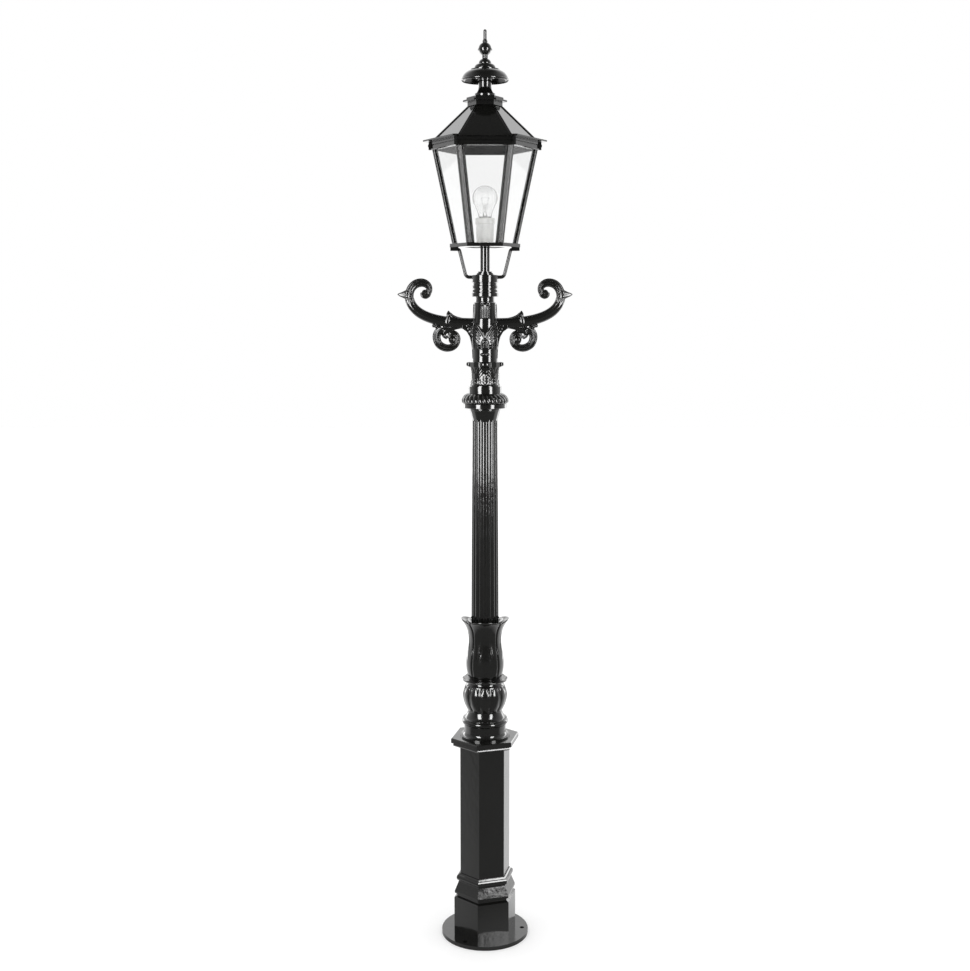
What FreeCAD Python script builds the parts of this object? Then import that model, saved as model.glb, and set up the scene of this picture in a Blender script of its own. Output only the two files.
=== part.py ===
import FreeCAD, Part
import math
import os

# Cast lamp post with two scroll arms and a hexagonal lantern.
# Millimetres. +Z is up, the front looks along -Y, and the origin is the centre of the
# underside of the ground flange.

V = FreeCAD.Vector
ORIGIN = V(0, 0, 0)
UP = V(0, 0, 1)
COS30 = math.cos(math.radians(30))

# ---- clearances between pieces ----
loose_gap = 0.3        # cast sections on the inner tube and round neighbours
core_gap = 2.3         # the long column's bore round the inner tube
running_gap = 0.05     # pins and the lantern socket that turn
seat_gap = 0.2         # flat faces of two bodies that turn on each other
screw_gap = 0.1        # screws and bolts in their holes

# ---- ground flange and inner tube ----
flange_radius = 110.0
flange_thickness = 10.0
ground_bolt_circle = 190.0
ground_bolt_count = 3
ground_bolt_hole = 11.0
ground_bolt_turn = -1.5
tube_radius = 19.7
tube_wall = 3.2
cable_entry_radius = 15.0

# ---- pedestal, a hexagon turned against the lantern ----
pedestal_turn = 17.0
pedestal_bore = 46.0
foot_radius = 81.5
foot_block_height = 92.0
foot_cove_radius = 74.0
foot_cove_height = 12.0
foot_bevel_radius = 80.5
foot_bevel_height = 29.0
foot_roll_radius = 75.5
foot_roll_height = 15.0
foot_fillet_height = 7.0
shaft_radius = 65.0
shaft_height = 332.0
cap_fillet_height = 2.0
cap_roll_radius = 84.0
cap_roll_height = 11.0
slab_radius = 89.0
slab_height = 12.0

# ---- drum, gadrooned bulb and tulip sleeve ----
drum_radius = 52.0
drum_foot_radius = 62.0
drum_height = 46.0
drum_torus_radius = 57.5
drum_torus_height = 14.0
bulb_foot_radius = 55.0
bulb_foot_height = 21.0
bulb_radius = 55.5
bulb_neck_radius = 43.0
bulb_height = 75.0
gadroon_count = 16
gadroon_groove = 3.4
ring_radius = 56.5
ring_height = 8.0
tulip_foot_radius = 41.2
tulip_bulge_radius = 47.3
tulip_throat_radius = 39.9
tulip_lip_radius = 59.3
tulip_height = 153.0
tulip_leaf_count = 8
tulip_lip_wall = 4.0

# ---- fluted column and capital ----
column_foot_radius = 34.9
column_top_radius = 30.8
column_height = 677.0
column_bore = tube_radius + core_gap
flute_count = 18
flute_radius = 3.8
flute_depth = 2.4
neck_foot_radius = 31.9
neck_top_radius = 38.0
neck_height = 32.0
gadroon_ring_radius = 57.9
gadroon_ring_height = 36.0
gadroon_ring_band = 11.2
band_radius = 52.5
ring_gadroon_count = 22
collar_radius = 40.3
collar_height = 18.5
collar_undercut = 2.0
collar_screw_count = 3
capital_radius = 35.4
capital_top_radius = 38.0
capital_lip_radius = 46.3
capital_lip_height = 9.7
capital_height = 52.5

# ---- hub and scroll arms, heights counted from the underside of the hub ----
hub_foot_radius = 30.3
hub_waist_radius = 31.5
hub_top_radius = 27.0
hub_height = 148.0
bracket_reach = 50.0
bracket_thickness = 20.0
arm_height = 97.0
arm_thickness = 13.2
arm_reach = 212.0
arm_bend_reach = 172.0
scroll_eye = (146.0, 171.0)
scroll_start_radius = 39.0
scroll_start_angle = 200.0
scroll_pitch = 0.3
scroll_sweep = 170.0
scroll_thickness = 10.8
scroll_end_thickness = 8.2
scroll_eye_radius = 13.0
lower_centre = (92.0, 63.0)
lower_start_radius = 24.8
lower_pitch = -0.03
lower_sweep = 190.0
lower_lead = 60.0
lower_thickness = 9.8
lower_end_thickness = 6.0
lower_eye = (79.0, 57.5)
lower_eye_radius = 11.0
leaf_spike_reach = 87.0
leaf_spike_height = 31.5

# ---- spigot and lantern socket ----
spigot_radius = 20.0
spigot_bore = 12.0
spigot_shoulder_radius = spigot_radius + 3.5
spigot_neck_height = 13.0
spigot_length = 41.0
socket_height = 51.5
socket_roof = 8.5
socket_bands = (       # radius, bottom and top of each raised band, from the socket's mouth
    (32.6, 0.0, 9.1),
    (31.7, 10.6, 16.5),
    (31.5, 19.6, 25.9),
    (29.8, 26.7, 32.1),
    (32.1, 33.7, socket_height),
)
socket_groove_radius = 28.6
socket_band_round = 1.0
socket_screw_height = 22.7
socket_screw_count = 3
cap_step_radius = 20.8
cap_top_radius = 17.8
cap_step_height = 4.6
cap_height = 8.2
lamp_tube_radius = 11.85
lamp_tube_wall = 2.3

# ---- yoke under the lantern ----
yoke_rise = 65.8
yoke_rod_radius = 4.25
yoke_rod_height = 4.8
yoke_bend_radius = 10.0
yoke_knee = 45.5
yoke_elbow = 62.0
yoke_elbow_radius = 7.0
yoke_pad_inner = 64.0
yoke_pad_outer = 83.0
yoke_pad_width = 16.0
yoke_pad_height = 2 * yoke_rod_radius + 0.1
yoke_bolt_radius = 3.0
yoke_bolt_head = 5.4
yoke_bolt_head_height = 2.4
yoke_bolt_inset = 10.0

# ---- lantern body ----
frame_radius = 84.5
frame_height = 8.5
frame_wall = 11.0
frame_flange = 34.0
tray_thickness = 3.0
tray_drop = 3.5
post_foot_radius = 78.5
post_top_radius = 124.9
post_height = 219.2
post_half_width = 8.5
post_depth = 8.0
pane_thickness = 3.0
pane_inset = 2.5
pane_rebate = 3.0
fascia_radius = 131.0
fascia_bead = 2.0
fascia_groove = 2.0
fascia_wall = 12.0
fascia_height = 19.7
bracket_outer_radius = 134.0
corner_bracket_depth = 6.5
corner_bracket_width = 9.0
corner_screw_radius = 2.2

# ---- roof and finial ----
eave_radius = 147.5
eave_thickness = 3.6
eave_opening = 112.0
roof_foot_radius = 122.0
roof_top_radius = 39.0
roof_rise = 78.0
roof_sheet = 2.0
rib_half_width = 3.0
rib_proud = 3.0
box_radius = 41.5
box_height = 10.0
cap_plate_radius = 52.3
cap_plate_height = 4.0
cap_slab_radius = 43.75
cap_slab_height = 7.0
chimney_foot_radius = 25.0
chimney_radius = 15.5
chimney_height = 58.0
chimney_bead_radius = 24.3
cowl_radius = 56.85
cowl_top_radius = 34.9
cowl_depth = 25.0
cowl_wall = 3.6
tier_radius = 25.3
bell_radius = 14.8
finial_neck_radius = 6.7
tiers_height = 34.0
ball_radius = 15.25
ball_rim_radius = 17.1
spike_collar_radius = 6.2
spike_radius = 3.9
spike_height = 29.4
spike_collar_height = 4.0
tie_rod_radius = 3.0
tie_nut_radius = 5.6
tie_nut_height = 5.0

# ---- roof hinge ----
hinge_pin_radius = 1.5
knuckle_radius = 3.5
hinge_half_length = 30.0
moving_knuckle_half = 10.0
hinge_reach = 8.1
hinge_drop = 1.0
leaf_thickness = 2.0

# ---- lamp holder and bulb, heights counted from the tray ----
holder_foot_radius = 20.0
holder_top_radius = 21.5
holder_height = 49.6
holder_ring_radius = 22.8
holder_ring_height = 14.9
holder_bore = 14.3
holder_floor = 28.0
shell_wall = 0.6
cap_radius = 13.0
cap_length = 29.0
bulb_glass_radius = 30.0
bulb_neck_glass = 15.0
bulb_glass_height = 76.0
glass_wall = 1.0
nut_radius = 15.5
nut_height = 5.0

# ---- heights up the post ----
foot_z = flange_thickness
foot_height = foot_block_height + foot_cove_height + foot_bevel_height + foot_roll_height + foot_fillet_height
shaft_z = foot_z + foot_height
cap_z = shaft_z + shaft_height
drum_z = cap_z + cap_fillet_height + cap_roll_height + slab_height
bulb_z = drum_z + drum_height
ring_z = bulb_z + bulb_foot_height + bulb_height
column_z = ring_z + ring_height
column_top_z = column_z + column_height
neck_z = column_top_z - neck_height
collar_z = column_top_z + gadroon_ring_height
capital_z = collar_z + collar_height
hub_z = capital_z + capital_height
hub_top_z = hub_z + hub_height
shoulder_z = hub_top_z + spigot_neck_height
socket_z = shoulder_z + seat_gap
socket_top_z = socket_z + socket_height
frame_z = socket_top_z + yoke_rise
post_z = frame_z + frame_height
tray_z = post_z - tray_drop
fascia_z = post_z + post_height
eave_z = fascia_z + fascia_height
roof_z = eave_z + eave_thickness
box_z = roof_z + roof_rise
cap_plate_z = box_z + box_height
chimney_z = cap_plate_z + cap_plate_height + cap_slab_height
cowl_top_z = chimney_z + chimney_height + cowl_wall
ball_z = cowl_top_z + tiers_height
spike_z = ball_z + 2 * ball_radius
hinge_y = fascia_radius * COS30 + hinge_reach
hinge_z = eave_z - hinge_drop - knuckle_radius


# ---- shape helpers ----
def lathe(outline):
    """Turn a closed outline of (radius, height) steps; a pair of points is an arc."""
    edges = []
    start = V(outline[0][0], 0, outline[0][1])
    for step in outline[1:] + outline[:1]:
        if isinstance(step[0], tuple):
            middle, end = [V(radius, 0, height) for radius, height in step]
            edges.append(Part.Arc(start, middle, end).toShape())
        else:
            end = V(step[0], 0, step[1])
            edges.append(Part.LineSegment(start, end).toShape())
        start = end
    return Part.Face(Part.Wire(edges)).revolve(ORIGIN, UP, 360)


def hexagon(corner_radius, height, turn=0.0):
    corners = []
    for index in range(6):
        angle = math.radians(turn + 60 * index)
        corners.append(V(corner_radius * math.cos(angle), corner_radius * math.sin(angle), height))
    return Part.makePolygon(corners + corners[:1])


def hex_stack(levels, turn=0.0):
    """Solid through hexagons given as (corner radius, height), from the bottom up."""
    return Part.makeLoft([hexagon(radius, height, turn) for radius, height in levels], True, True)


def half_round(radius, bottom, height, bulge, steps=6):
    """Levels of a half round moulding that stands out by bulge."""
    levels = []
    for step in range(steps + 1):
        angle = math.pi * (step / steps - 0.5)
        levels.append((radius + bulge * math.cos(angle), bottom + height * (math.sin(angle) + 1) / 2))
    return levels


def cylinder(radius, bottom, top):
    return Part.makeCylinder(radius, top - bottom, V(0, 0, bottom))


def box(low, high):
    size = [high[axis] - low[axis] for axis in range(3)]
    return Part.makeBox(size[0], size[1], size[2], V(*low))


def ring_of(shape, count, first=0.0):
    copies = []
    for index in range(count):
        copy = shape.copy()
        copy.rotate(ORIGIN, UP, first + 360.0 * index / count)
        copies.append(copy)
    return copies


def groove_along(start, middle, end, radius):
    """Round cutter that follows the arc through three (radius, height) points."""
    points = [V(point[0], 0, point[1]) for point in (start, middle, end)]
    edge = Part.Arc(*points).toShape()
    low, high = edge.ParameterRange
    disc = Part.Face(Part.Wire(Part.makeCircle(radius, points[0], edge.tangentAt(low))))
    return disc.revolve(edge.Curve.Center, edge.Curve.Axis, math.degrees(high - low))


def solids_of(shapes):
    return Part.makeCompound(shapes)


def largest(shape):
    return max(shape.Solids, key=lambda solid: solid.Volume)


# ---- ground flange, pedestal and sleeves ----
def make_base_flange():
    plate = cylinder(flange_radius, 0, flange_thickness)
    cable_entry = cylinder(cable_entry_radius, 0, flange_thickness)
    hole = Part.makeCylinder(ground_bolt_hole / 2, flange_thickness, V(ground_bolt_circle / 2, 0, 0))
    holes = ring_of(hole, ground_bolt_count, ground_bolt_turn)
    return plate.cut(solids_of(holes + [cable_entry]))


def make_pedestal_foot():
    cove_z = foot_z + foot_block_height
    bevel_z = cove_z + foot_cove_height
    fillet_z = bevel_z + foot_bevel_height
    roll_z = fillet_z + foot_fillet_height / 2
    levels = [(foot_radius, foot_z), (foot_radius, cove_z), (foot_cove_radius, cove_z + 4)]
    levels += [(foot_cove_radius, bevel_z - 4), (foot_bevel_radius, bevel_z)]
    levels += [(foot_bevel_radius, bevel_z + 5), (shaft_radius + 5, fillet_z), (shaft_radius + 5, roll_z)]
    roll_foot = shaft_radius + 5
    levels += half_round(roll_foot, roll_z + 0.01, foot_roll_height, foot_roll_radius - roll_foot)
    levels += [(shaft_radius + 2, shaft_z)]
    return hex_stack(levels, pedestal_turn).cut(cylinder(pedestal_bore, foot_z, shaft_z))


def make_pedestal_shaft():
    shaft = hex_stack([(shaft_radius, shaft_z), (shaft_radius, cap_z)], pedestal_turn)
    return shaft.cut(cylinder(pedestal_bore, shaft_z, cap_z))


def make_pedestal_cap():
    slab_z = drum_z - slab_height
    roll_z = cap_z + cap_fillet_height
    roll_foot = shaft_radius + 8
    levels = [(shaft_radius + 2, cap_z), (shaft_radius + 4, roll_z)]
    levels += half_round(roll_foot, roll_z + 0.01, cap_roll_height - 0.02, cap_roll_radius - roll_foot)
    levels += [(slab_radius, slab_z), (slab_radius, drum_z - 2), (slab_radius - 2, drum_z)]
    return hex_stack(levels, pedestal_turn).cut(cylinder(pedestal_bore, cap_z, drum_z))


def make_pedestal_drum():
    torus_z = bulb_z - drum_torus_height
    torus_foot = drum_torus_radius - drum_torus_height * 0.4
    outline = [(pedestal_bore, drum_z), (drum_foot_radius, drum_z), (drum_foot_radius, drum_z + 4)]
    outline += [((drum_radius + 2.5, drum_z + 7.5), (drum_radius, drum_z + 14)), (drum_radius, torus_z - 2)]
    outline += [(torus_foot, torus_z)]
    outline += [((drum_torus_radius, torus_z + drum_torus_height / 2), (torus_foot, bulb_z))]
    outline += [(pedestal_bore, bulb_z)]
    return lathe(outline)


def make_gadroon_bulb():
    bulb_foot = bulb_z + bulb_foot_height
    start = (bulb_neck_radius - 0.5, bulb_foot)
    middle = (bulb_radius, bulb_foot + bulb_height * 0.5)
    end = (bulb_neck_radius, ring_z - 6)
    flare_top = bulb_foot - 2
    flare = (bulb_neck_radius + 3.5, bulb_z + bulb_foot_height * 0.35)
    outline = [(column_foot_radius + loose_gap, bulb_z), (bulb_foot_radius, bulb_z)]
    outline += [(bulb_foot_radius, bulb_z + 1.5), (flare, (bulb_neck_radius - 0.5, flare_top))]
    outline += [start, (middle, end)]
    outline += [(bulb_neck_radius, ring_z), (column_foot_radius + loose_gap, ring_z)]
    cutter = groove_along(start, middle, end, gadroon_groove)
    cutter.translate(V(gadroon_groove * 0.4, 0, 0))
    return lathe(outline).cut(solids_of(ring_of(cutter, gadroon_count)))


def make_tulip_ring():
    outline = [(tube_radius + loose_gap, ring_z), (ring_radius - 2, ring_z)]
    outline += [((ring_radius, ring_z + ring_height / 2), (ring_radius - 2, column_z))]
    outline += [(tube_radius + loose_gap, column_z)]
    return lathe(outline)


def make_tulip_sleeve():
    bulge_z = column_z + tulip_height * 0.22
    throat_z = column_z + tulip_height * 0.65
    lip_z = column_z + tulip_height
    inside = column_foot_radius + loose_gap
    lip_foot = (inside, throat_z + tulip_height * 0.12)
    outline = [(inside, column_z), (tulip_foot_radius, column_z)]
    outline += [((tulip_bulge_radius, bulge_z), (tulip_throat_radius + 1.5, throat_z - tulip_height * 0.14))]
    outline += [((tulip_throat_radius, throat_z + 2), (tulip_throat_radius + 6, lip_z - tulip_height * 0.12))]
    outline += [(tulip_lip_radius, lip_z - 7), (tulip_lip_radius, lip_z - 3)]
    outline += [(tulip_lip_radius - tulip_lip_wall, lip_z)]
    outline += [((inside + 4, (lip_z + lip_foot[1]) / 2 + 4), lip_foot)]
    sleeve = lathe(outline)
    notch = Part.makeCone(0.5, 9, 26, V(tulip_lip_radius - 2, 0, lip_z - 22))
    return largest(sleeve.cut(solids_of(ring_of(notch, tulip_leaf_count, 180 / tulip_leaf_count))))


# ---- column and capital ----
def make_fluted_column():
    outline = [(column_bore, column_z), (column_foot_radius, column_z)]
    outline += [(column_top_radius, column_top_z), (column_bore, column_top_z)]
    low = V(column_foot_radius + flute_radius - flute_depth, 0, column_z + tulip_height * 0.5)
    high = V(column_top_radius + flute_radius - flute_depth, 0, column_top_z)
    run = high - low
    flute = Part.makeCylinder(flute_radius, run.Length, low, run)
    return lathe(outline).cut(solids_of(ring_of(flute, flute_count)))


def make_column_neck():
    top = column_top_z
    inside = column_top_radius + 1.0
    outline = [(inside, neck_z), (neck_foot_radius + 0.6, neck_z), (neck_top_radius - 1, top - 3)]
    outline += [(neck_top_radius, top - 2), (neck_top_radius, top), (inside, top)]
    scallop = Part.makeCylinder(6, 4 * neck_foot_radius, V(-2 * neck_foot_radius, 0, neck_z - 2), V(1, 0, 0))
    return lathe(outline).cut(solids_of(ring_of(scallop, 2, 45)))


def make_gadroon_ring():
    bottom = column_top_z
    band_top = bottom + gadroon_ring_band
    top = collar_z
    widest_z = band_top + 6
    shoulder = collar_radius + 1
    round_share = math.sqrt(0.5)
    lower_mid = (band_radius - 1 + (gadroon_ring_radius - band_radius + 1) * round_share,
                 widest_z - (widest_z - band_top) * round_share)
    upper_mid = (shoulder + (gadroon_ring_radius - shoulder) * round_share,
                 widest_z + (top - widest_z) * round_share)
    outline = [(tube_radius + loose_gap, bottom), (band_radius, bottom), (band_radius, band_top)]
    outline += [(band_radius - 1, band_top), (lower_mid, (gadroon_ring_radius, widest_z))]
    outline += [(upper_mid, (shoulder, top)), (tube_radius + loose_gap, top)]
    cutter = groove_along((gadroon_ring_radius, widest_z - 5), upper_mid, (shoulder, top), gadroon_groove)
    cutter.translate(V(gadroon_groove * 0.5, 0, gadroon_groove * 0.4))
    return lathe(outline).cut(solids_of(ring_of(cutter, ring_gadroon_count)))


def make_capital_collar():
    outline = [(tube_radius + loose_gap, collar_z), (collar_radius, collar_z)]
    outline += [(collar_radius, capital_z - collar_undercut), (capital_radius, capital_z - collar_undercut)]
    outline += [(capital_radius, capital_z)]
    outline += [(tube_radius + loose_gap, capital_z)]
    return lathe(outline).cut(solids_of(collar_screw_shapes(screw_gap)))


def collar_screw_shapes(gap=0.0):
    """Grub screws through the collar, from the inner tube to just under the surface."""
    inner = tube_radius + loose_gap
    outer = collar_radius - 0.8 + 2 * gap
    screw = Part.makeCylinder(3 + gap, outer - inner, V(inner, 0, collar_z + 8.5), V(1, 0, 0))
    return ring_of(screw, collar_screw_count, -90)


def make_leaf_capital():
    lip_z = hub_z - capital_lip_height
    outline = [(tube_radius + loose_gap, capital_z), (capital_radius + 1.5, capital_z)]
    outline += [(capital_radius, capital_z + 4), (capital_radius + 0.6, capital_z + 18)]
    outline += [(capital_top_radius, lip_z - 1), (capital_lip_radius - 3, lip_z)]
    outline += [((capital_lip_radius, lip_z + capital_lip_height / 2), (capital_lip_radius - 3, hub_z))]
    outline += [(tube_radius + loose_gap, hub_z)]
    return lathe(outline)


# ---- hub and scroll arms ----
def make_hub_core():
    outline = [(tube_radius + loose_gap, hub_z), (hub_foot_radius + 3, hub_z)]
    outline += [(hub_foot_radius, hub_z + 6), (hub_waist_radius, hub_z + hub_height * 0.46)]
    outline += [(hub_top_radius + 2.2, hub_z + hub_height * 0.75), (hub_top_radius, hub_top_z)]
    outline += [(tube_radius + loose_gap, hub_top_z)]
    return lathe(outline)


def make_hub():
    """Core with a bracket under each arm and raised panels and studs, the same front and back."""
    inner = tube_radius + 4
    half = bracket_thickness / 2
    corners = [(inner, 19), (hub_foot_radius, 19), (hub_waist_radius, 38), (bracket_reach - 12, 67)]
    corners += [(bracket_reach, 84), (inner, 88)]
    points = [V(x, -half, hub_z + height) for x, height in corners]
    bracket = Part.Face(Part.makePolygon(points + points[:1])).extrude(V(0, bracket_thickness, 0))
    tongue = box((-8, -hub_top_radius - 5.5, hub_z + 104), (8, -inner, hub_z + 143))
    arch = box((-9, -hub_waist_radius - 3.5, hub_z + 36), (9, -inner, hub_z + 62))
    studs = [Part.makeSphere(4.6, V(side * 7, -hub_top_radius - 3.5, hub_z + 143)) for side in (-1, 1)]
    studs += [Part.makeSphere(3.4, V(side * 6, -hub_foot_radius, hub_z + 21)) for side in (-1, 1)]
    studs += [Part.makeSphere(6.0, V(side * 17, -hub_waist_radius + 6, hub_z + 46)) for side in (-1, 1)]
    ornaments = [tongue, arch] + studs
    raised = ring_of(bracket, 2)
    for ornament in ornaments:
        raised += ring_of(ornament, 2)
    solid = make_hub_core()
    for piece in raised:
        solid = solid.fuse(piece)
    return largest(solid.removeSplitter())


def section_ring(distance, height, tangent_angle, radius):
    """Round section of an arm across the direction tangent_angle, in the plane of the arms."""
    ring = Part.makeCircle(radius, ORIGIN, V(1, 0, 0))
    ring.rotate(ORIGIN, V(0, 1, 0), -tangent_angle)
    ring.translate(V(distance, 0, hub_z + height))
    return Part.Wire(ring)


def spiral_sections(eye, start_radius, start_angle, pitch, sweep, turn_sense, radii, steps):
    """Sections along a log spiral round the eye; radii are the first and last section radius."""
    sections = []
    for step in range(steps + 1):
        share = step / steps
        angle = math.radians(start_angle + turn_sense * sweep * share)
        reach = start_radius * math.exp(-pitch * math.radians(sweep * share))
        along = angle + turn_sense * (math.pi / 2 + math.atan(pitch))
        radius = radii[0] + (radii[1] - radii[0]) * share
        x = eye[0] + reach * math.cos(angle)
        height = eye[1] + reach * math.sin(angle)
        sections.append(section_ring(x, height, math.degrees(along), radius))
    return sections


def make_right_arm(hub):
    """Right arm: a bow that rises into a scroll, a lower scroll, a tip and a leaf spike."""
    start = (hub_top_radius - 5, arm_height)
    first_angle = math.radians(180 - scroll_start_angle)
    end_x = scroll_eye[0] + scroll_start_radius * math.cos(first_angle)
    end_height = scroll_eye[1] + scroll_start_radius * math.sin(first_angle)
    knee = (arm_bend_reach, arm_height)
    sections = []
    for step in range(7):
        t = step / 7
        weights = ((1 - t) ** 2, 2 * t * (1 - t), t ** 2)
        x = weights[0] * start[0] + weights[1] * knee[0] + weights[2] * end_x
        height = weights[0] * start[1] + weights[1] * knee[1] + weights[2] * end_height
        slope_x = (1 - t) * (knee[0] - start[0]) + t * (end_x - knee[0])
        slope_z = (1 - t) * (knee[1] - start[1]) + t * (end_height - knee[1])
        radius = arm_thickness + (scroll_thickness - arm_thickness) * t
        sections.append(section_ring(x, height, math.degrees(math.atan2(slope_z, slope_x)), radius))
    sections += spiral_sections(scroll_eye, scroll_start_radius, 180 - scroll_start_angle, scroll_pitch,
                                scroll_sweep, 1, (scroll_thickness, scroll_end_thickness), 8)
    bow = Part.makeLoft(sections, True, False)
    lower_start = lower_start_radius * math.exp(lower_pitch * math.radians(lower_lead))
    lower_radii = (lower_thickness, lower_end_thickness)
    lower_sections = spiral_sections(lower_centre, lower_start, lower_lead, lower_pitch,
                                     lower_lead + lower_sweep, -1, lower_radii, 10)
    lower = Part.makeLoft(lower_sections, True, False)
    upper_eye = Part.makeSphere(scroll_eye_radius, V(scroll_eye[0], 0, hub_z + scroll_eye[1]))
    under_eye = Part.makeSphere(lower_eye_radius, V(lower_eye[0], 0, hub_z + lower_eye[1]))
    tip_root = end_x - scroll_thickness / 2
    tip_height = hub_z + scroll_eye[1] - 6
    tip = Part.makeCone(10, 1.2, arm_reach - tip_root, V(tip_root, 0, tip_height), V(1, 0, 0))
    spike = Part.makeCone(9, 1.5, leaf_spike_height, V(leaf_spike_reach, 0, hub_z + arm_height))
    arm = bow
    for piece in (lower, upper_eye, under_eye, tip, spike):
        arm = arm.fuse(piece)
    return largest(arm.cut(hub))


def make_spigot():
    outline = [(spigot_bore, hub_top_z), (hub_top_radius - 3, hub_top_z)]
    outline += [((spigot_shoulder_radius - 0.8, hub_top_z + 6), (spigot_shoulder_radius, shoulder_z))]
    outline += [(spigot_radius, shoulder_z), (spigot_radius, shoulder_z + spigot_length - 1)]
    outline += [(spigot_radius - 1, shoulder_z + spigot_length), (spigot_bore, shoulder_z + spigot_length)]
    return lathe(outline)


def make_inner_tube():
    tube = cylinder(tube_radius, flange_thickness, hub_top_z)
    return tube.cut(cylinder(tube_radius - tube_wall, flange_thickness, hub_top_z))


# ---- socket and yoke ----
def socket_screw_shapes(gap=0.0):
    """Grub screws that hold the socket; their tips stop just short of the spigot."""
    inner = spigot_radius + 4 * running_gap
    screw = Part.makeCylinder(3 + gap, 31.5 - inner, V(inner, 0, socket_z + socket_screw_height), V(1, 0, 0))
    return ring_of(screw, socket_screw_count, -90)


def make_lantern_socket():
    bore = spigot_radius + running_gap
    outline = [(bore, socket_z)]
    near = socket_band_round * (1 - math.sqrt(0.5))
    for radius, low, high in socket_bands:
        flat = radius - socket_band_round
        bottom = socket_z + low
        top = socket_z + high
        if low > 0:
            outline += [(socket_groove_radius, bottom)]
        outline += [(flat, bottom), ((radius - near, bottom + near), (radius, bottom + socket_band_round))]
        outline += [(radius, top - socket_band_round), ((radius - near, top - near), (flat, top))]
        if high < socket_height:
            outline += [(socket_groove_radius, top)]
    ceiling = socket_top_z - socket_roof
    cable_way = lamp_tube_radius - lamp_tube_wall
    outline += [(cable_way, socket_top_z), (cable_way, ceiling), (bore, ceiling)]
    socket = lathe(outline)
    rod = yoke_rod_radius + screw_gap
    rod_z = socket_top_z - yoke_rod_height
    depth = 6.0
    seat = Part.makeCylinder(rod, depth + 5, V(socket_bands[-1][0] - depth, 0, rod_z), V(1, 0, 0))
    return socket.cut(solids_of(ring_of(seat, 2) + socket_screw_shapes(screw_gap)))


def make_socket_cap():
    inner = lamp_tube_radius + loose_gap
    z = socket_top_z
    outline = [(inner, z), (cap_step_radius + 3, z), (cap_step_radius + 3, z + 1.2)]
    outline += [(cap_step_radius, z + 1.4), (cap_step_radius, z + cap_step_height)]
    outline += [(cap_top_radius, z + cap_step_height + 0.6), (cap_top_radius, z + cap_height)]
    outline += [(inner, z + cap_height)]
    return lathe(outline)


def yoke_bolt_shapes(gap=0.0):
    """Countersunk bolts through the pads, the bottom frame and the tray."""
    bottom = frame_z - yoke_pad_height
    foot = V(yoke_pad_outer - yoke_bolt_inset, 0, bottom)
    shank = Part.makeCylinder(yoke_bolt_radius + gap, tray_z + 0.5 - bottom, foot)
    head = Part.makeCone(yoke_bolt_head, yoke_bolt_radius, yoke_bolt_head_height, foot)
    return ring_of(shank.fuse(head), 2)


def bent_path(points, bend_radii):
    """Wire through the points with each corner between them rounded."""
    edges = []
    start = points[0]
    for before, corner, after, bend_radius in zip(points, points[1:], points[2:], bend_radii):
        arriving = (corner - before).normalize()
        leaving = (after - corner).normalize()
        half_turn = arriving.getAngle(leaving) / 2
        cut_back = bend_radius * math.tan(half_turn)
        first = corner - arriving * cut_back
        last = corner + leaving * cut_back
        inward = (leaving - arriving).normalize()
        middle = corner + inward * (bend_radius / math.cos(half_turn) - bend_radius)
        edges.append(Part.LineSegment(start, first).toShape())
        edges.append(Part.Arc(first, middle, last).toShape())
        start = last
    edges.append(Part.LineSegment(start, points[-1]).toShape())
    return Part.Wire(edges)


def make_yoke_leg(side):
    rod_z = socket_top_z - yoke_rod_height
    pad_middle = frame_z - yoke_pad_height / 2
    start = V(socket_bands[-1][0] - 5.5, 0, rod_z)
    corners = [V(yoke_knee, 0, rod_z), V(yoke_elbow, 0, pad_middle), V(yoke_pad_inner + 6, 0, pad_middle)]
    section = Part.Wire(Part.makeCircle(yoke_rod_radius, start, V(1, 0, 0)))
    path = bent_path([start] + corners, (yoke_bend_radius, yoke_elbow_radius))
    rod = path.makePipeShell([section], True, False)
    pad_low = (yoke_pad_inner, -yoke_pad_width / 2, frame_z - yoke_pad_height)
    pad = box(pad_low, (yoke_pad_outer, yoke_pad_width / 2, frame_z))
    leg = rod.fuse(pad)
    if side < 0:
        leg = leg.mirror(ORIGIN, V(1, 0, 0))
    return largest(leg.cut(solids_of(yoke_bolt_shapes(screw_gap))))


def make_lamp_tube():
    inner = lamp_tube_radius - lamp_tube_wall
    collar_low = tray_z - tray_thickness - 3
    outline = [(inner, socket_top_z), (lamp_tube_radius, socket_top_z), (lamp_tube_radius, collar_low)]
    outline += [(lamp_tube_radius + 3.5, collar_low), (lamp_tube_radius + 3.5, collar_low + 3)]
    outline += [(lamp_tube_radius, collar_low + 3), (lamp_tube_radius, tray_z + nut_height + 1)]
    outline += [(inner, tray_z + nut_height + 1)]
    return lathe(outline)


def make_tray_nut():
    nut = hex_stack([(nut_radius, tray_z), (nut_radius, tray_z + nut_height)])
    return nut.cut(cylinder(lamp_tube_radius + screw_gap, tray_z, tray_z + nut_height))


# ---- lantern body ----
def hex_shell(low_radius, low_z, high_radius, high_z, outer_inset, inner_inset):
    """Sloping six sided wall between two depths under its outer face."""
    outer = outer_inset / COS30
    inner = inner_inset / COS30
    skin = hex_stack([(low_radius - outer, low_z), (high_radius - outer, high_z)])
    hollow = hex_stack([(low_radius - inner, low_z), (high_radius - inner, high_z)])
    return skin.cut(hollow)


def corner_slabs(half_width, low, high, reach=200.0):
    """Upright slabs through the six corners, each half_width to both sides of its corner."""
    slab = box((10, -half_width, low), (reach, half_width, high))
    return ring_of(slab, 6)


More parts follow.
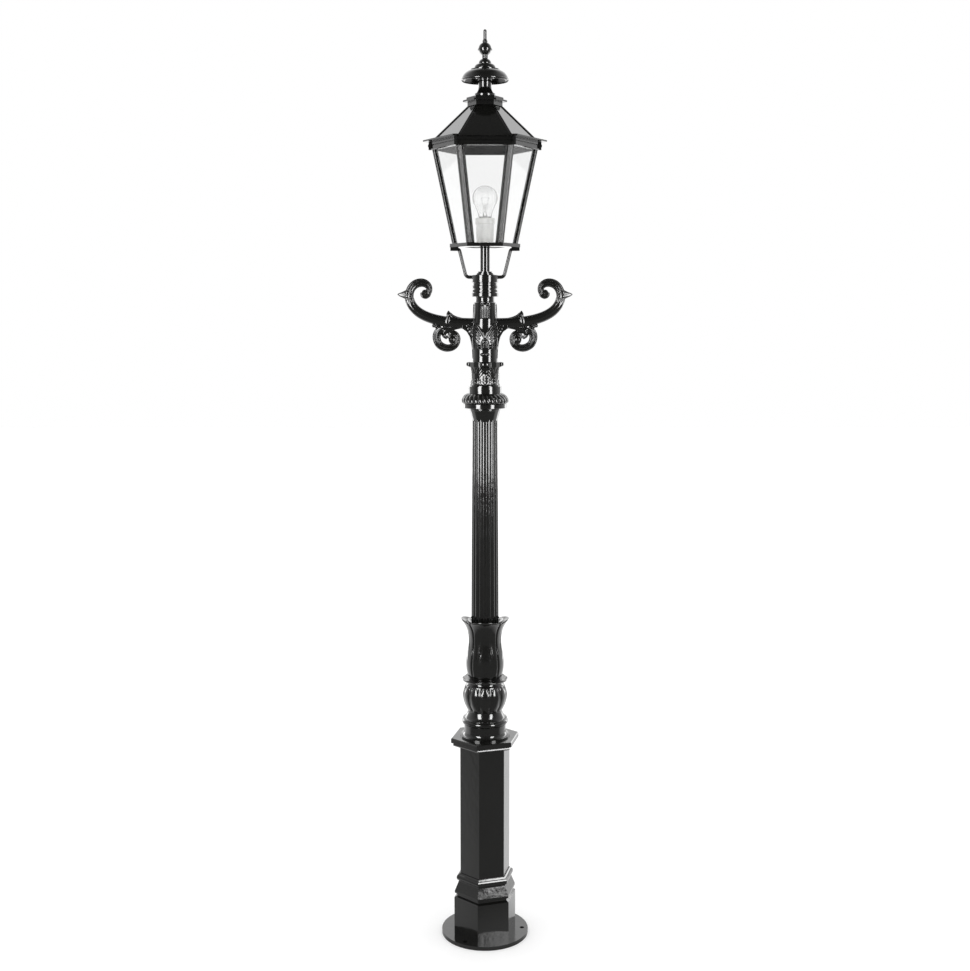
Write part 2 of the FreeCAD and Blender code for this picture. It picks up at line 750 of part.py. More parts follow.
def face_wedges(half_width, low, high, reach=200.0):
    """Upright wedges between the corners that stay half_width clear of each corner plane."""
    wedges = []
    start = half_width / math.sin(math.radians(30))
    corners = [V(start, 0, low)]
    for angle in (-30, 30):
        side = math.radians(angle)
        corners.append(V(start + reach * math.cos(side), reach * math.sin(side), low))
    wedge = Part.Face(Part.makePolygon(corners + corners[:1])).extrude(V(0, 0, high - low))
    for index in range(6):
        copy = wedge.copy()
        copy.rotate(ORIGIN, UP, -90 + 60 * index)
        wedges.append(copy)
    return wedges


def make_bottom_frame():
    ring = hex_stack([(frame_radius, frame_z), (frame_radius, post_z)])
    opening = hex_stack([(frame_radius - frame_flange, frame_z), (frame_radius - frame_flange, post_z)])
    ledge = frame_radius - frame_wall
    rebate = hex_stack([(ledge, tray_z - tray_thickness), (ledge, post_z)])
    return ring.cut(opening).cut(rebate).cut(solids_of(yoke_bolt_shapes(screw_gap)))


def make_bottom_tray():
    ledge = frame_radius - frame_wall - loose_gap
    plate = hex_stack([(ledge, tray_z - tray_thickness), (ledge, tray_z)])
    tube_hole = cylinder(lamp_tube_radius + loose_gap, tray_z - tray_thickness, tray_z)
    return plate.cut(solids_of([tube_hole] + yoke_bolt_shapes(screw_gap)))


def make_corner_posts():
    wall = hex_shell(post_foot_radius, post_z, post_top_radius, fascia_z, 0, post_depth)
    gap = loose_gap / 2
    groove = hex_shell(post_foot_radius, post_z, post_top_radius, fascia_z,
                       pane_inset - gap, pane_inset + pane_thickness + gap)
    rebates = solids_of(face_wedges(post_half_width - pane_rebate - gap, post_z, fascia_z))
    posts = [wall.common(slab) for slab in corner_slabs(post_half_width, post_z, fascia_z)]
    channel = groove.common(rebates)
    return solids_of([largest(post.cut(channel)) for post in posts])


def make_side_panes():
    sheet = hex_shell(post_foot_radius, post_z, post_top_radius, fascia_z,
                      pane_inset, pane_inset + pane_thickness)
    wedges = face_wedges(post_half_width - pane_rebate, post_z, fascia_z)
    return [largest(sheet.common(wedge)) for wedge in wedges]


def corner_bracket_shapes(gap=0.0):
    inner = bracket_outer_radius - corner_bracket_depth - gap
    half = corner_bracket_width / 2 + gap
    block = box((inner, -half, fascia_z), (bracket_outer_radius, half, eave_z - 0.4))
    return ring_of(block, 6)


def make_eave_fascia():
    height = fascia_height
    bead = fascia_radius + fascia_bead
    plain = fascia_radius - 1
    levels = [(plain, 0), (bead, 1.2), (bead, 2.8), (plain, 4), (plain, height * 0.52)]
    levels += [(fascia_radius - fascia_groove, height * 0.56), (fascia_radius - fascia_groove, height * 0.6)]
    levels += [(fascia_radius, height * 0.64), (fascia_radius, height)]
    rail = hex_stack([(radius, fascia_z + rise) for radius, rise in levels])
    opening = fascia_radius - fascia_wall
    rail = rail.cut(hex_stack([(opening, fascia_z), (opening, eave_z)]))
    rail = rail.cut(solids_of(corner_bracket_shapes()))
    return largest(rail.cut(solids_of(corner_screw_shapes(screw_gap))))


def corner_screw_shapes(gap=0.0):
    reach = corner_bracket_depth + 3
    screw = Part.makeCylinder(corner_screw_radius + gap, reach,
                              V(bracket_outer_radius - reach, 0, fascia_z + fascia_height / 2), V(1, 0, 0))
    return ring_of(screw, 6)


def make_corner_brackets():
    holes = solids_of(corner_screw_shapes(screw_gap))
    return solids_of([largest(block.cut(holes)) for block in corner_bracket_shapes()])


def make_corner_screws():
    screws = []
    head = Part.makeCylinder(corner_screw_radius + 1.2, 1.4,
                             V(bracket_outer_radius, 0, fascia_z + fascia_height / 2), V(1, 0, 0))
    for shank, cap in zip(corner_screw_shapes(), ring_of(head, 6)):
        screws.append(shank.fuse(cap).removeSplitter())
    return solids_of(screws)


# ---- hinge ----
def knuckle(low_x, high_x):
    return Part.makeCylinder(knuckle_radius, high_x - low_x, V(low_x, hinge_y, hinge_z), V(1, 0, 0))


def hinge_bore():
    return Part.makeCylinder(hinge_pin_radius + running_gap, 4 * hinge_half_length,
                             V(-2 * hinge_half_length, hinge_y, hinge_z), V(1, 0, 0))


def make_hinge_fixed_leaf():
    face_y = fascia_radius * COS30
    inner = moving_knuckle_half + loose_gap
    low_z = hinge_z - knuckle_radius + 0.5
    top_z = eave_z - hinge_drop
    leaf = box((-hinge_half_length, face_y, low_z), (hinge_half_length, face_y + leaf_thickness, top_z))
    for side in (-1, 1):
        low_x = min(side * inner, side * hinge_half_length)
        high_x = max(side * inner, side * hinge_half_length)
        half = leaf_thickness / 2
        arm = box((low_x, face_y, hinge_z - half), (high_x, hinge_y, hinge_z + half))
        leaf = leaf.fuse(arm).fuse(knuckle(low_x, high_x))
    return largest(leaf.cut(hinge_bore()).removeSplitter())


def make_hinge_moving_leaf():
    half = leaf_thickness * 0.6
    web = box((-moving_knuckle_half, hinge_y - half, hinge_z), (moving_knuckle_half, hinge_y + half, eave_z))
    leaf = web.fuse(knuckle(-moving_knuckle_half, moving_knuckle_half))
    return largest(leaf.cut(hinge_bore()).removeSplitter())


def make_hinge_pin():
    end = hinge_half_length + 0.3
    pin = Part.makeCylinder(hinge_pin_radius, 2 * end, V(-end, hinge_y, hinge_z), V(1, 0, 0))
    for side in (-1, 1):
        pin = pin.fuse(Part.makeCylinder(2.4, 1.5, V(side * end, hinge_y, hinge_z), V(side, 0, 0)))
    return pin.removeSplitter()


# ---- roof and finial ----
def make_eave_plate():
    plate = hex_stack([(eave_radius, eave_z), (eave_radius, roof_z)])
    return plate.cut(hex_stack([(eave_opening, eave_z), (eave_opening, roof_z)]))


def make_roof_panels():
    sheet = hex_shell(roof_foot_radius, roof_z, roof_top_radius, box_z, 0, roof_sheet)
    return solids_of([largest(sheet.common(wedge)) for wedge in face_wedges(rib_half_width, roof_z, box_z)])


def make_roof_ribs():
    bars = hex_shell(roof_foot_radius, roof_z, roof_top_radius, box_z, -rib_proud, roof_sheet)
    return solids_of([largest(bars.common(slab)) for slab in corner_slabs(rib_half_width, roof_z, box_z)])


def make_roof_box():
    block = hex_stack([(box_radius, box_z), (box_radius, cap_plate_z)])
    return block.cut(cylinder(tie_rod_radius + loose_gap, box_z, cap_plate_z))


def make_cap_slab():
    slab_z = cap_plate_z + cap_plate_height
    plate = hex_stack([(cap_plate_radius, cap_plate_z), (cap_plate_radius, slab_z)])
    slab_levels = [(cap_slab_radius, slab_z), (cap_slab_radius, chimney_z - 1)]
    slab_levels += [(cap_slab_radius - 1.5, chimney_z)]
    slab = hex_stack(slab_levels)
    return plate.fuse(slab).cut(cylinder(tie_rod_radius + loose_gap, cap_plate_z, chimney_z))


def make_chimney():
    inner = tie_rod_radius + loose_gap
    top = chimney_z + chimney_height
    bead_z = chimney_z + chimney_height * 0.76
    bead_height = 8.0
    outline = [(inner, chimney_z), (chimney_foot_radius, chimney_z), (chimney_foot_radius, chimney_z + 6)]
    outline += [((chimney_foot_radius - 0.8, chimney_z + 8), (chimney_foot_radius - 3, chimney_z + 8.7))]
    outline += [((chimney_radius + 2, chimney_z + 15), (chimney_radius, chimney_z + 23))]
    outline += [(chimney_radius + 1, bead_z - 6), (chimney_radius + 3, bead_z)]
    bead_foot = chimney_bead_radius - 2
    outline += [(bead_foot, bead_z)]
    outline += [((chimney_bead_radius, bead_z + bead_height / 2), (bead_foot, bead_z + bead_height))]
    outline += [(chimney_radius, bead_z + bead_height), (chimney_radius, top), (inner, top)]
    return lathe(outline)


def make_saucer_cowl():
    inner = tie_rod_radius + loose_gap
    rim_z = cowl_top_z - cowl_depth
    ceiling = cowl_top_z - cowl_wall
    outline = [(inner, cowl_top_z), (inner, ceiling), (cowl_top_radius - 5, ceiling)]
    outline += [((cowl_radius - 8, rim_z + 11), (cowl_radius - 3, rim_z + 3)), (cowl_radius - 3, rim_z)]
    outline += [((cowl_radius, rim_z + 2.6), (cowl_radius - 1.5, rim_z + 5.5))]
    outline += [((cowl_radius - 7, rim_z + 16), (cowl_top_radius, cowl_top_z))]
    return lathe(outline)


def make_finial_tiers():
    inner = tie_rod_radius + loose_gap
    z = cowl_top_z
    outline = [(inner, z), (cowl_top_radius, z), (cowl_top_radius, z + 2.2), (tier_radius + 2, z + 4)]
    outline += [(tier_radius, z + 5), ((tier_radius - 2, z + 11), (bell_radius + 3, z + 14.5))]
    outline += [(bell_radius, z + 15), (bell_radius, z + 17)]
    outline += [((bell_radius - 1.8, z + 21.8), (finial_neck_radius + 1, z + 26))]
    outline += [(finial_neck_radius, z + 27.5), (finial_neck_radius, ball_z), (inner, ball_z)]
    return lathe(outline)


def make_finial_ball():
    inner = tie_rod_radius + loose_gap
    middle = ball_z + ball_radius
    rim_z = middle - 1.8
    rim_half = 1.3
    ball = Part.makeSphere(ball_radius, V(0, 0, middle))
    rim = cylinder(ball_rim_radius, rim_z - rim_half, rim_z + rim_half)
    keep = cylinder(2 * ball_radius, ball_z + 0.6, spike_z - 0.4)
    foot = cylinder(finial_neck_radius, ball_z, ball_z + 2)
    top = cylinder(spike_collar_radius - 0.5, spike_z - 2, spike_z)
    solid = ball.common(keep).fuse(rim).fuse(foot).fuse(top)
    return largest(solid.cut(cylinder(inner, ball_z, spike_z)).removeSplitter())


def make_finial_spike():
    """Domed nut: a collar under a round ended spike, with a blind hole for the tie rod."""
    collar_top = spike_z + spike_collar_height
    shoulder = spike_collar_radius - 1
    outline = [(0, spike_z), (shoulder, spike_z)]
    outline += [((spike_collar_radius, (spike_z + collar_top) / 2), (shoulder, collar_top))]
    outline += [(spike_radius + 0.6, collar_top + 2), (0, collar_top + 2)]
    dome_z = spike_z + spike_height - spike_radius
    spike = lathe(outline).fuse(cylinder(spike_radius, collar_top, dome_z))
    spike = spike.fuse(Part.makeSphere(spike_radius, V(0, 0, dome_z)))
    return largest(spike.cut(cylinder(tie_rod_radius + loose_gap, spike_z, collar_top)).removeSplitter())


def make_tie_rod():
    return cylinder(tie_rod_radius, box_z - tie_nut_height - 3, spike_z + 3.5)


def make_tie_nut():
    nut = hex_stack([(tie_nut_radius, box_z - tie_nut_height), (tie_nut_radius, box_z)])
    return nut.cut(cylinder(tie_rod_radius + screw_gap, box_z - tie_nut_height, box_z))


# ---- lamp holder and bulb ----
def make_lamp_holder():
    recess = nut_radius + 1.5
    z = tray_z
    outline = [(recess, z), (holder_foot_radius, z), (holder_top_radius, z + holder_height)]
    outline += [(holder_bore, z + holder_height), (holder_bore, z + holder_floor)]
    outline += [(8, z + holder_floor), (8, z + nut_height + 4), (recess, z + nut_height + 4)]
    return lathe(outline)


def make_holder_ring():
    z = tray_z + holder_height
    top = z + holder_ring_height
    outline = [(holder_bore, z), (holder_ring_radius - 0.6, z), (holder_ring_radius, z + 1.5)]
    outline += [(holder_ring_radius, top - 2)]
    outline += [((holder_ring_radius - 0.6, top - 0.6), (holder_ring_radius - 2, top))]
    outline += [(holder_bore, top)]
    return lathe(outline)


def make_holder_contacts():
    """Threaded shell and the centre contact spring under it."""
    low = tray_z + holder_floor
    top = low + 34.0
    outer = holder_bore - loose_gap
    shell = cylinder(outer, low, top).cut(cylinder(outer - shell_wall, low, top))
    leaf = box((-4, -2.5, low), (9.5, 2.5, low + 1))
    spring = box((-4, -2.5, low), (-3, 2.5, low + 6))
    pad = box((-4, -2.5, low + 5), (4, 2.5, low + 6))
    return solids_of([shell, leaf.fuse(spring).fuse(pad).removeSplitter()])


def bulb_base_z():
    return tray_z + holder_height + holder_ring_height + 0.7


def make_bulb_cap():
    top = bulb_base_z()
    low = top - cap_length
    outline = [(0, low), (4.5, low), (4.5, low + 1.2), (cap_radius - 1.5, low + 5), (cap_radius, low + 6.5)]
    outline += [(cap_radius, top), (0, top)]
    return lathe(outline)


def make_bulb_glass():
    z = bulb_base_z()
    globe = bulb_glass_radius
    centre = z + bulb_glass_height - globe
    meet = 0.92 * globe
    drop = math.sqrt(globe ** 2 - meet ** 2)
    inner = globe - glass_wall
    inner_meet = 0.92 * inner
    inner_drop = math.sqrt(inner ** 2 - inner_meet ** 2)
    waist = (bulb_neck_glass + 4.6, z + (centre - drop - z) * 0.52)
    outline = [(bulb_neck_glass, z), (waist, (meet, centre - drop)), ((globe, centre), (0, centre + globe))]
    outline += [(0, centre + inner), ((inner, centre), (inner_meet, centre - inner_drop))]
    outline += [((waist[0] - glass_wall, waist[1]), (bulb_neck_glass - glass_wall, z + 2))]
    outline += [(cap_radius - 1, z)]
    return lathe(outline)


def make_bulb_filament():
    """Glass stem, two lead wires and the filament bow that joins their ends."""
    z = bulb_base_z()
    bow_z = z + bulb_glass_height * 0.62
    spread = 9.0
    stem = lathe([(0, z), (6.5, z), (3.2, z + 12), (2.6, z + 30), (0, z + 31)])
    shapes = [stem]
    for side in (-1, 1):
        root = V(side * 2.0, 0, z + 20)
        run = V(side * spread, 0, bow_z) - root
        shapes.append(Part.makeCylinder(0.5, run.Length, root, run))
    bow = Part.makeCylinder(0.6, 2 * spread + 1, V(-spread - 0.5, 0, bow_z), V(1, 0, 0))
    solid = shapes[0].fuse(shapes[1]).fuse(shapes[2]).fuse(bow)
    return largest(solid)


def build_nodes():
    hub = make_hub()
    right_arm = make_right_arm(hub)
    nodes = {
        "base_flange": make_base_flange(),
        "pedestal_foot": make_pedestal_foot(),
        "pedestal_shaft": make_pedestal_shaft(),
        "pedestal_cap": make_pedestal_cap(),
        "pedestal_drum": make_pedestal_drum(),
        "gadroon_bulb": make_gadroon_bulb(),
        "tulip_ring": make_tulip_ring(),
        "tulip_sleeve": make_tulip_sleeve(),
        "fluted_column": make_fluted_column(),
        "column_neck": make_column_neck(),
        "gadroon_ring": make_gadroon_ring(),
        "capital_collar": make_capital_collar(),
        "collar_grub_screws": solids_of(collar_screw_shapes()),
        "leaf_capital": make_leaf_capital(),
        "arm_hub": hub,
        "right_scroll_arm": right_arm,
        "left_scroll_arm": right_arm.mirror(ORIGIN, V(1, 0, 0)),
        "spigot": make_spigot(),
        "inner_tube": make_inner_tube(),
        "lantern_socket": make_lantern_socket(),
        "socket_grub_screws": solids_of(socket_screw_shapes()),
        "socket_cap": make_socket_cap(),
        "yoke_leg_left": make_yoke_leg(-1),
        "yoke_leg_right": make_yoke_leg(1),
        "yoke_bolts": solids_of(yoke_bolt_shapes()),
        "lamp_tube": make_lamp_tube(),
        "tray_nut": make_tray_nut(),
        "bottom_frame": make_bottom_frame(),
        "bottom_tray": make_bottom_tray(),
        "corner_posts": make_corner_posts(),
        "eave_fascia": make_eave_fascia(),
        "corner_brackets": make_corner_brackets(),
        "corner_screws": make_corner_screws(),
        "hinge_fixed_leaf": make_hinge_fixed_leaf(),
        "hinge_pin": make_hinge_pin(),
        "hinge_moving_leaf": make_hinge_moving_leaf(),
        "eave_plate": make_eave_plate(),
        "roof_panels": make_roof_panels(),
        "roof_ribs": make_roof_ribs(),
        "roof_box": make_roof_box(),
        "cap_slab": make_cap_slab(),
        "chimney": make_chimney(),
        "saucer_cowl": make_saucer_cowl(),
        "finial_tiers": make_finial_tiers(),
        "finial_ball": make_finial_ball(),
        "finial_spike": make_finial_spike(),
        "finial_tie_rod": make_tie_rod(),
        "tie_rod_nut": make_tie_nut(),
        "lamp_holder": make_lamp_holder(),
        "holder_ring": make_holder_ring(),
        "holder_contacts": make_holder_contacts(),
        "bulb_cap": make_bulb_cap(),
        "bulb_glass": make_bulb_glass(),
        "bulb_filament": make_bulb_filament(),
    }
    for index, pane in enumerate(make_side_panes(), start=1):
        nodes["side_pane_%d" % index] = pane
    return nodes


def main():
    os.makedirs("parts", exist_ok=True)
    for name, shape in build_nodes().items():
        if not shape.isValid():
            raise ValueError("%s is not a valid solid" % name)
        shape.exportStep("parts/%s.step" % name)
        extent = shape.BoundBox
        print("%-20s %2d solids  volume %11.1f  z %7.1f to %7.1f" % (
            name, len(shape.Solids), shape.Volume, extent.ZMin, extent.ZMax))


main()
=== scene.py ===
import math

import bpy
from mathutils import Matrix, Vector


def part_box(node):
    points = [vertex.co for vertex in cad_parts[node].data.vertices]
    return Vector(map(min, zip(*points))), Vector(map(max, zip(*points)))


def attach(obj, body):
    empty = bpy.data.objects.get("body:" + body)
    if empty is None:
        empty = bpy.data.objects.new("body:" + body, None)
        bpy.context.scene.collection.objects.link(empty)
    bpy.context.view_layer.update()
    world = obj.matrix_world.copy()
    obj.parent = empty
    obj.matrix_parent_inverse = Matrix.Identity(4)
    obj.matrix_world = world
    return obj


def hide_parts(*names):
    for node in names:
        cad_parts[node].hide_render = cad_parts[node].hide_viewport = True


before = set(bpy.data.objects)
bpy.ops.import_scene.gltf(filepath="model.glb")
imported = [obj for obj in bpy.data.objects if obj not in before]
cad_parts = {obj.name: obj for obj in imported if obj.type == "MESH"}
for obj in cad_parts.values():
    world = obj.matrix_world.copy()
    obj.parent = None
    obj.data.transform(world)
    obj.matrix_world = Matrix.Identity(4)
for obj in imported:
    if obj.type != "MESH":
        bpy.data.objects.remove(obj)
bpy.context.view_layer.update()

MM = 0.001
FRONT = -math.pi / 2


# ---- places read from the frame, in millimetres above the ground or from the post's axis ----
def low_z(node):
    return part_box(node)[0][2] / MM


def high_z(node):
    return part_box(node)[1][2] / MM


def outer_radius(node):
    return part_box(node)[1][0] / MM


# ---- node material helpers ----
def new_material(name):
    material = bpy.data.materials.new(name)
    material.use_nodes = True
    return material, material.node_tree, material.node_tree.nodes["Principled BSDF"]


def noise_texture(tree, scale, detail=3.0, roughness=0.5):
    where = tree.nodes.new("ShaderNodeTexCoord")
    node = tree.nodes.new("ShaderNodeTexNoise")
    node.inputs["Scale"].default_value = scale
    node.inputs["Detail"].default_value = detail
    node.inputs["Roughness"].default_value = roughness
    tree.links.new(where.outputs["Object"], node.inputs["Vector"])
    return node.outputs["Fac"]


def remap(tree, value, low, high, from_low=0.3, from_high=0.7):
    node = tree.nodes.new("ShaderNodeMapRange")
    node.inputs["From Min"].default_value = from_low
    node.inputs["From Max"].default_value = from_high
    node.inputs["To Min"].default_value = low
    node.inputs["To Max"].default_value = high
    tree.links.new(value, node.inputs["Value"])
    return node.outputs["Result"]


def blend_colors(tree, factor, first, second):
    node = tree.nodes.new("ShaderNodeMix")
    node.data_type = "RGBA"
    node.inputs[6].default_value = (*first, 1)
    node.inputs[7].default_value = (*second, 1)
    tree.links.new(factor, node.inputs[0])
    return node.outputs[2]


def add_bump(tree, shader, layers):
    """Stacks bump layers given as (height socket, distance in metres, strength)."""
    previous = None
    for height, distance, strength in layers:
        node = tree.nodes.new("ShaderNodeBump")
        node.inputs["Distance"].default_value = distance
        node.inputs["Strength"].default_value = strength
        tree.links.new(height, node.inputs["Height"])
        if previous is not None:
            tree.links.new(previous, node.inputs["Normal"])
        previous = node.outputs["Normal"]
    tree.links.new(previous, shader.inputs["Normal"])


def mirror_rays(tree):
    """1 for rays mirrored by the paint, 0 for all others, also those that pass through glass."""
    rays = tree.nodes.new("ShaderNodeLightPath")
    share = tree.nodes.new("ShaderNodeMath")
    share.operation = "SUBTRACT"
    share.use_clamp = True
    tree.links.new(rays.outputs["Is Glossy Ray"], share.inputs[0])
    tree.links.new(rays.outputs["Is Transmission Ray"], share.inputs[1])
    return share.outputs[0]


# ---- materials ----
def gloss_black(name, wave, peel, rough):
    """Gloss black coat: slow waves of the casting under it, orange peel and slight haze in it."""
    material, tree, shader = new_material(name)
    shader.inputs["Specular IOR Level"].default_value = 0.5
    shader.inputs["IOR"].default_value = 1.5
    shader.inputs["Coat Weight"].default_value = 0.35
    shader.inputs["Coat Roughness"].default_value = 0.04
    tone = remap(tree, noise_texture(tree, 9.0, 4.0), 0.0, 1.0)
    color = blend_colors(tree, tone, (0.0055, 0.0056, 0.005), (0.0075, 0.0076, 0.0068))
    tree.links.new(color, shader.inputs["Base Color"])
    haze = remap(tree, noise_texture(tree, 34.0, 5.0, 0.6), rough, rough + 0.07)
    tree.links.new(haze, shader.inputs["Roughness"])
    waves = noise_texture(tree, 55.0, 2.0)
    skin = noise_texture(tree, 420.0, 2.0)
    add_bump(tree, shader, [(waves, wave, 1.0), (skin, peel, 1.0)])
    return material


def plated_steel():
    material, tree, shader = new_material("plated_steel")
    shader.inputs["Metallic"].default_value = 1.0
    tone = remap(tree, noise_texture(tree, 160.0, 4.0), 0.0, 1.0)
    color = blend_colors(tree, tone, (0.46, 0.46, 0.47), (0.62, 0.62, 0.63))
    tree.links.new(color, shader.inputs["Base Color"])
    tree.links.new(remap(tree, noise_texture(tree, 300.0), 0.22, 0.4), shader.inputs["Roughness"])
    add_bump(tree, shader, [(noise_texture(tree, 900.0), 0.00003, 1.0)])
    return material


def white_coat():
    material, tree, shader = new_material("white_coat")
    tone = remap(tree, noise_texture(tree, 25.0, 4.0), 0.0, 1.0)
    color = blend_colors(tree, tone, (0.74, 0.74, 0.72), (0.82, 0.82, 0.8))
    tree.links.new(color, shader.inputs["Base Color"])
    tree.links.new(remap(tree, noise_texture(tree, 90.0), 0.3, 0.42), shader.inputs["Roughness"])
    add_bump(tree, shader, [(noise_texture(tree, 500.0), 0.00004, 1.0)])
    return material


def porcelain():
    material, tree, shader = new_material("porcelain")
    shader.inputs["Coat Weight"].default_value = 0.8
    # Painted light: a faint white glow lightens the holder in the shade under the lantern roof; the holder is
    # no lamp.
    shader.inputs["Emission Color"].default_value = (1, 1, 1, 1)
    shader.inputs["Emission Strength"].default_value = 0.06
    shader.inputs["Coat Roughness"].default_value = 0.05
    tone = remap(tree, noise_texture(tree, 40.0, 5.0), 0.0, 1.0)
    color = blend_colors(tree, tone, (0.78, 0.78, 0.76), (0.84, 0.84, 0.82))
    tree.links.new(color, shader.inputs["Base Color"])
    tree.links.new(remap(tree, noise_texture(tree, 60.0), 0.2, 0.32), shader.inputs["Roughness"])
    add_bump(tree, shader, [(noise_texture(tree, 140.0), 0.00008, 1.0)])
    return material


def pressed_metal(name, dark, bright, rough):
    material, tree, shader = new_material(name)
    shader.inputs["Metallic"].default_value = 1.0
    tone = remap(tree, noise_texture(tree, 220.0, 4.0), 0.0, 1.0)
    tree.links.new(blend_colors(tree, tone, dark, bright), shader.inputs["Base Color"])
    tree.links.new(remap(tree, noise_texture(tree, 350.0), rough, rough + 0.15), shader.inputs["Roughness"])
    add_bump(tree, shader, [(noise_texture(tree, 700.0), 0.00003, 1.0)])
    return material


def clear_glass(name, tint, wave):
    """Clear glass with the slow waves of drawn or blown glass."""
    material, tree, shader = new_material(name)
    shader.inputs["Transmission Weight"].default_value = 1.0
    shader.inputs["IOR"].default_value = 1.45
    tone = remap(tree, noise_texture(tree, 6.0), 0.0, 1.0)
    tree.links.new(blend_colors(tree, tone, tint, (0.995, 0.995, 0.995)), shader.inputs["Base Color"])
    tree.links.new(remap(tree, noise_texture(tree, 20.0, 4.0), 0.0, 0.015), shader.inputs["Roughness"])
    add_bump(tree, shader, [(noise_texture(tree, 14.0, 1.0), wave, 1.0)])
    return material


def studio_floor():
    """White papered floor; for rays mirrored by the gloss paint its colour is painted near black in front of
    the post, a painted dark reflection, and white behind it.
    """
    material, tree, shader = new_material("studio_floor")
    tone = remap(tree, noise_texture(tree, 1.5, 4.0), 0.0, 1.0)
    white_paper = blend_colors(tree, tone, (0.93, 0.93, 0.93), (0.95, 0.95, 0.95))
    where = tree.nodes.new("ShaderNodeTexCoord")
    split = tree.nodes.new("ShaderNodeSeparateXYZ")
    tree.links.new(where.outputs["Object"], split.inputs[0])
    # Painted reflection: mask from near black in front of the post to white behind, used only for rays
    # mirrored by the paint.
    painted_reflection_mask = remap(tree, split.outputs["Y"], low=0.1, high=1.0, from_low=-0.25, from_high=0.25)
    share = tree.nodes.new("ShaderNodeMix")
    share.inputs[2].default_value = 1.0
    tree.links.new(mirror_rays(tree), share.inputs[0])
    tree.links.new(painted_reflection_mask, share.inputs[3])
    paper_and_painted_reflection = tree.nodes.new("ShaderNodeMix")
    paper_and_painted_reflection.data_type = "RGBA"
    # Near black colour painted on the floor where the paint mirrors it: a painted dark reflection.
    paper_and_painted_reflection.inputs[6].default_value = (0.01, 0.01, 0.01, 1)
    tree.links.new(share.outputs[0], paper_and_painted_reflection.inputs[0])
    tree.links.new(white_paper, paper_and_painted_reflection.inputs[7])
    tree.links.new(paper_and_painted_reflection.outputs[2], shader.inputs["Base Color"])
    shader.inputs["Roughness"].default_value = 0.7
    shader.inputs["Specular IOR Level"].default_value = 0.1
    shader.inputs["Emission Color"].default_value = (1, 1, 1, 1)
    shader.inputs["Emission Strength"].default_value = 0.09
    add_bump(tree, shader, [(noise_texture(tree, 90.0), 0.0001, 1.0)])
    return material


cast_black = gloss_black("gloss_black_casting", 0.00035, 0.00002, 0.1)
sheet_black = gloss_black("gloss_black_sheet", 0.0001, 0.00001, 0.06)
steel = plated_steel()
white = white_coat()
ceramic = porcelain()
brass = pressed_metal("pressed_brass", (0.6, 0.44, 0.17), (0.74, 0.58, 0.27), 0.25)
bulb_metal = pressed_metal("pressed_cap_metal", (0.62, 0.62, 0.63), (0.78, 0.78, 0.79), 0.2)
stem_glass = clear_glass("stem_glass", (0.9, 0.9, 0.9), 0.0001)
pane_glass = clear_glass("pane_glass", (0.985, 0.99, 0.987), 0.0002)
bulb_glass = clear_glass("bulb_glass", (0.985, 0.985, 0.985), 0.0001)

CAST_NODES = """base_flange pedestal_foot pedestal_shaft pedestal_cap pedestal_drum gadroon_bulb tulip_ring
tulip_sleeve fluted_column column_neck gadroon_ring capital_collar leaf_capital arm_hub right_scroll_arm
left_scroll_arm spigot lantern_socket socket_cap yoke_leg_left yoke_leg_right chimney saucer_cowl
finial_tiers finial_ball finial_spike""".split()
SHEET_NODES = """lamp_tube bottom_frame corner_posts eave_fascia corner_brackets corner_screws
hinge_fixed_leaf hinge_moving_leaf eave_plate roof_panels roof_ribs roof_box cap_slab""".split()
OTHER_NODES = {
    "inner_tube": steel, "collar_grub_screws": sheet_black, "socket_grub_screws": sheet_black,
    "yoke_bolts": steel, "tray_nut": steel, "hinge_pin": steel, "finial_tie_rod": steel, "tie_rod_nut": steel,
    "bottom_tray": white, "lamp_holder": ceramic, "holder_ring": ceramic, "holder_contacts": brass,
    "bulb_cap": bulb_metal, "bulb_glass": bulb_glass, "bulb_filament": stem_glass,
}
BEVELS = {             # width in millimetres of the soft edges of CAD nodes
    "base_flange": 1.2, "pedestal_foot": 1.2, "pedestal_shaft": 1.5, "pedestal_cap": 1.0,
    "pedestal_drum": 0.8, "tulip_ring": 0.8, "capital_collar": 0.8, "spigot": 0.5,
    "lantern_socket": 0.5, "socket_cap": 0.4, "yoke_leg_left": 0.8, "yoke_leg_right": 0.8,
    "bottom_frame": 0.8, "eave_fascia": 0.6,
    "corner_brackets": 2.0, "eave_plate": 0.7, "roof_ribs": 0.6, "roof_box": 0.8, "cap_slab": 0.8,
    "yoke_bolts": 0.4, "corner_screws": 0.3, "hinge_fixed_leaf": 0.3, "hinge_moving_leaf": 0.3,
}


def paint_node(node, material):
    """Every face of a CAD node takes one material."""
    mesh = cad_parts[node].data
    mesh.materials.clear()
    mesh.materials.append(material)


def dress_cad_nodes():
    for node in CAST_NODES:
        paint_node(node, cast_black)
    for node in SHEET_NODES:
        paint_node(node, sheet_black)
    for node, material in OTHER_NODES.items():
        paint_node(node, material)
    for index in range(1, 7):
        # A pane's upper and lower edge faces take the black paint as painted shade, so that where the glass
        # sits in the black frame its edges show dark and not as bright lines.
        pane = "side_pane_%d" % index
        paint_node(pane, pane_glass)
        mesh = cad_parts[pane].data
        mesh.materials.append(sheet_black)
        for face in mesh.polygons:
            face.material_index = 1 if abs(face.normal.z) > 0.9 else 0
    for node, width in BEVELS.items():
        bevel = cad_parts[node].modifiers.new("soft_edges", "BEVEL")
        bevel.width = width * MM
        bevel.segments = 3
        bevel.limit_method = "ANGLE"
        bevel.angle_limit = math.radians(35)
        bevel.harden_normals = True


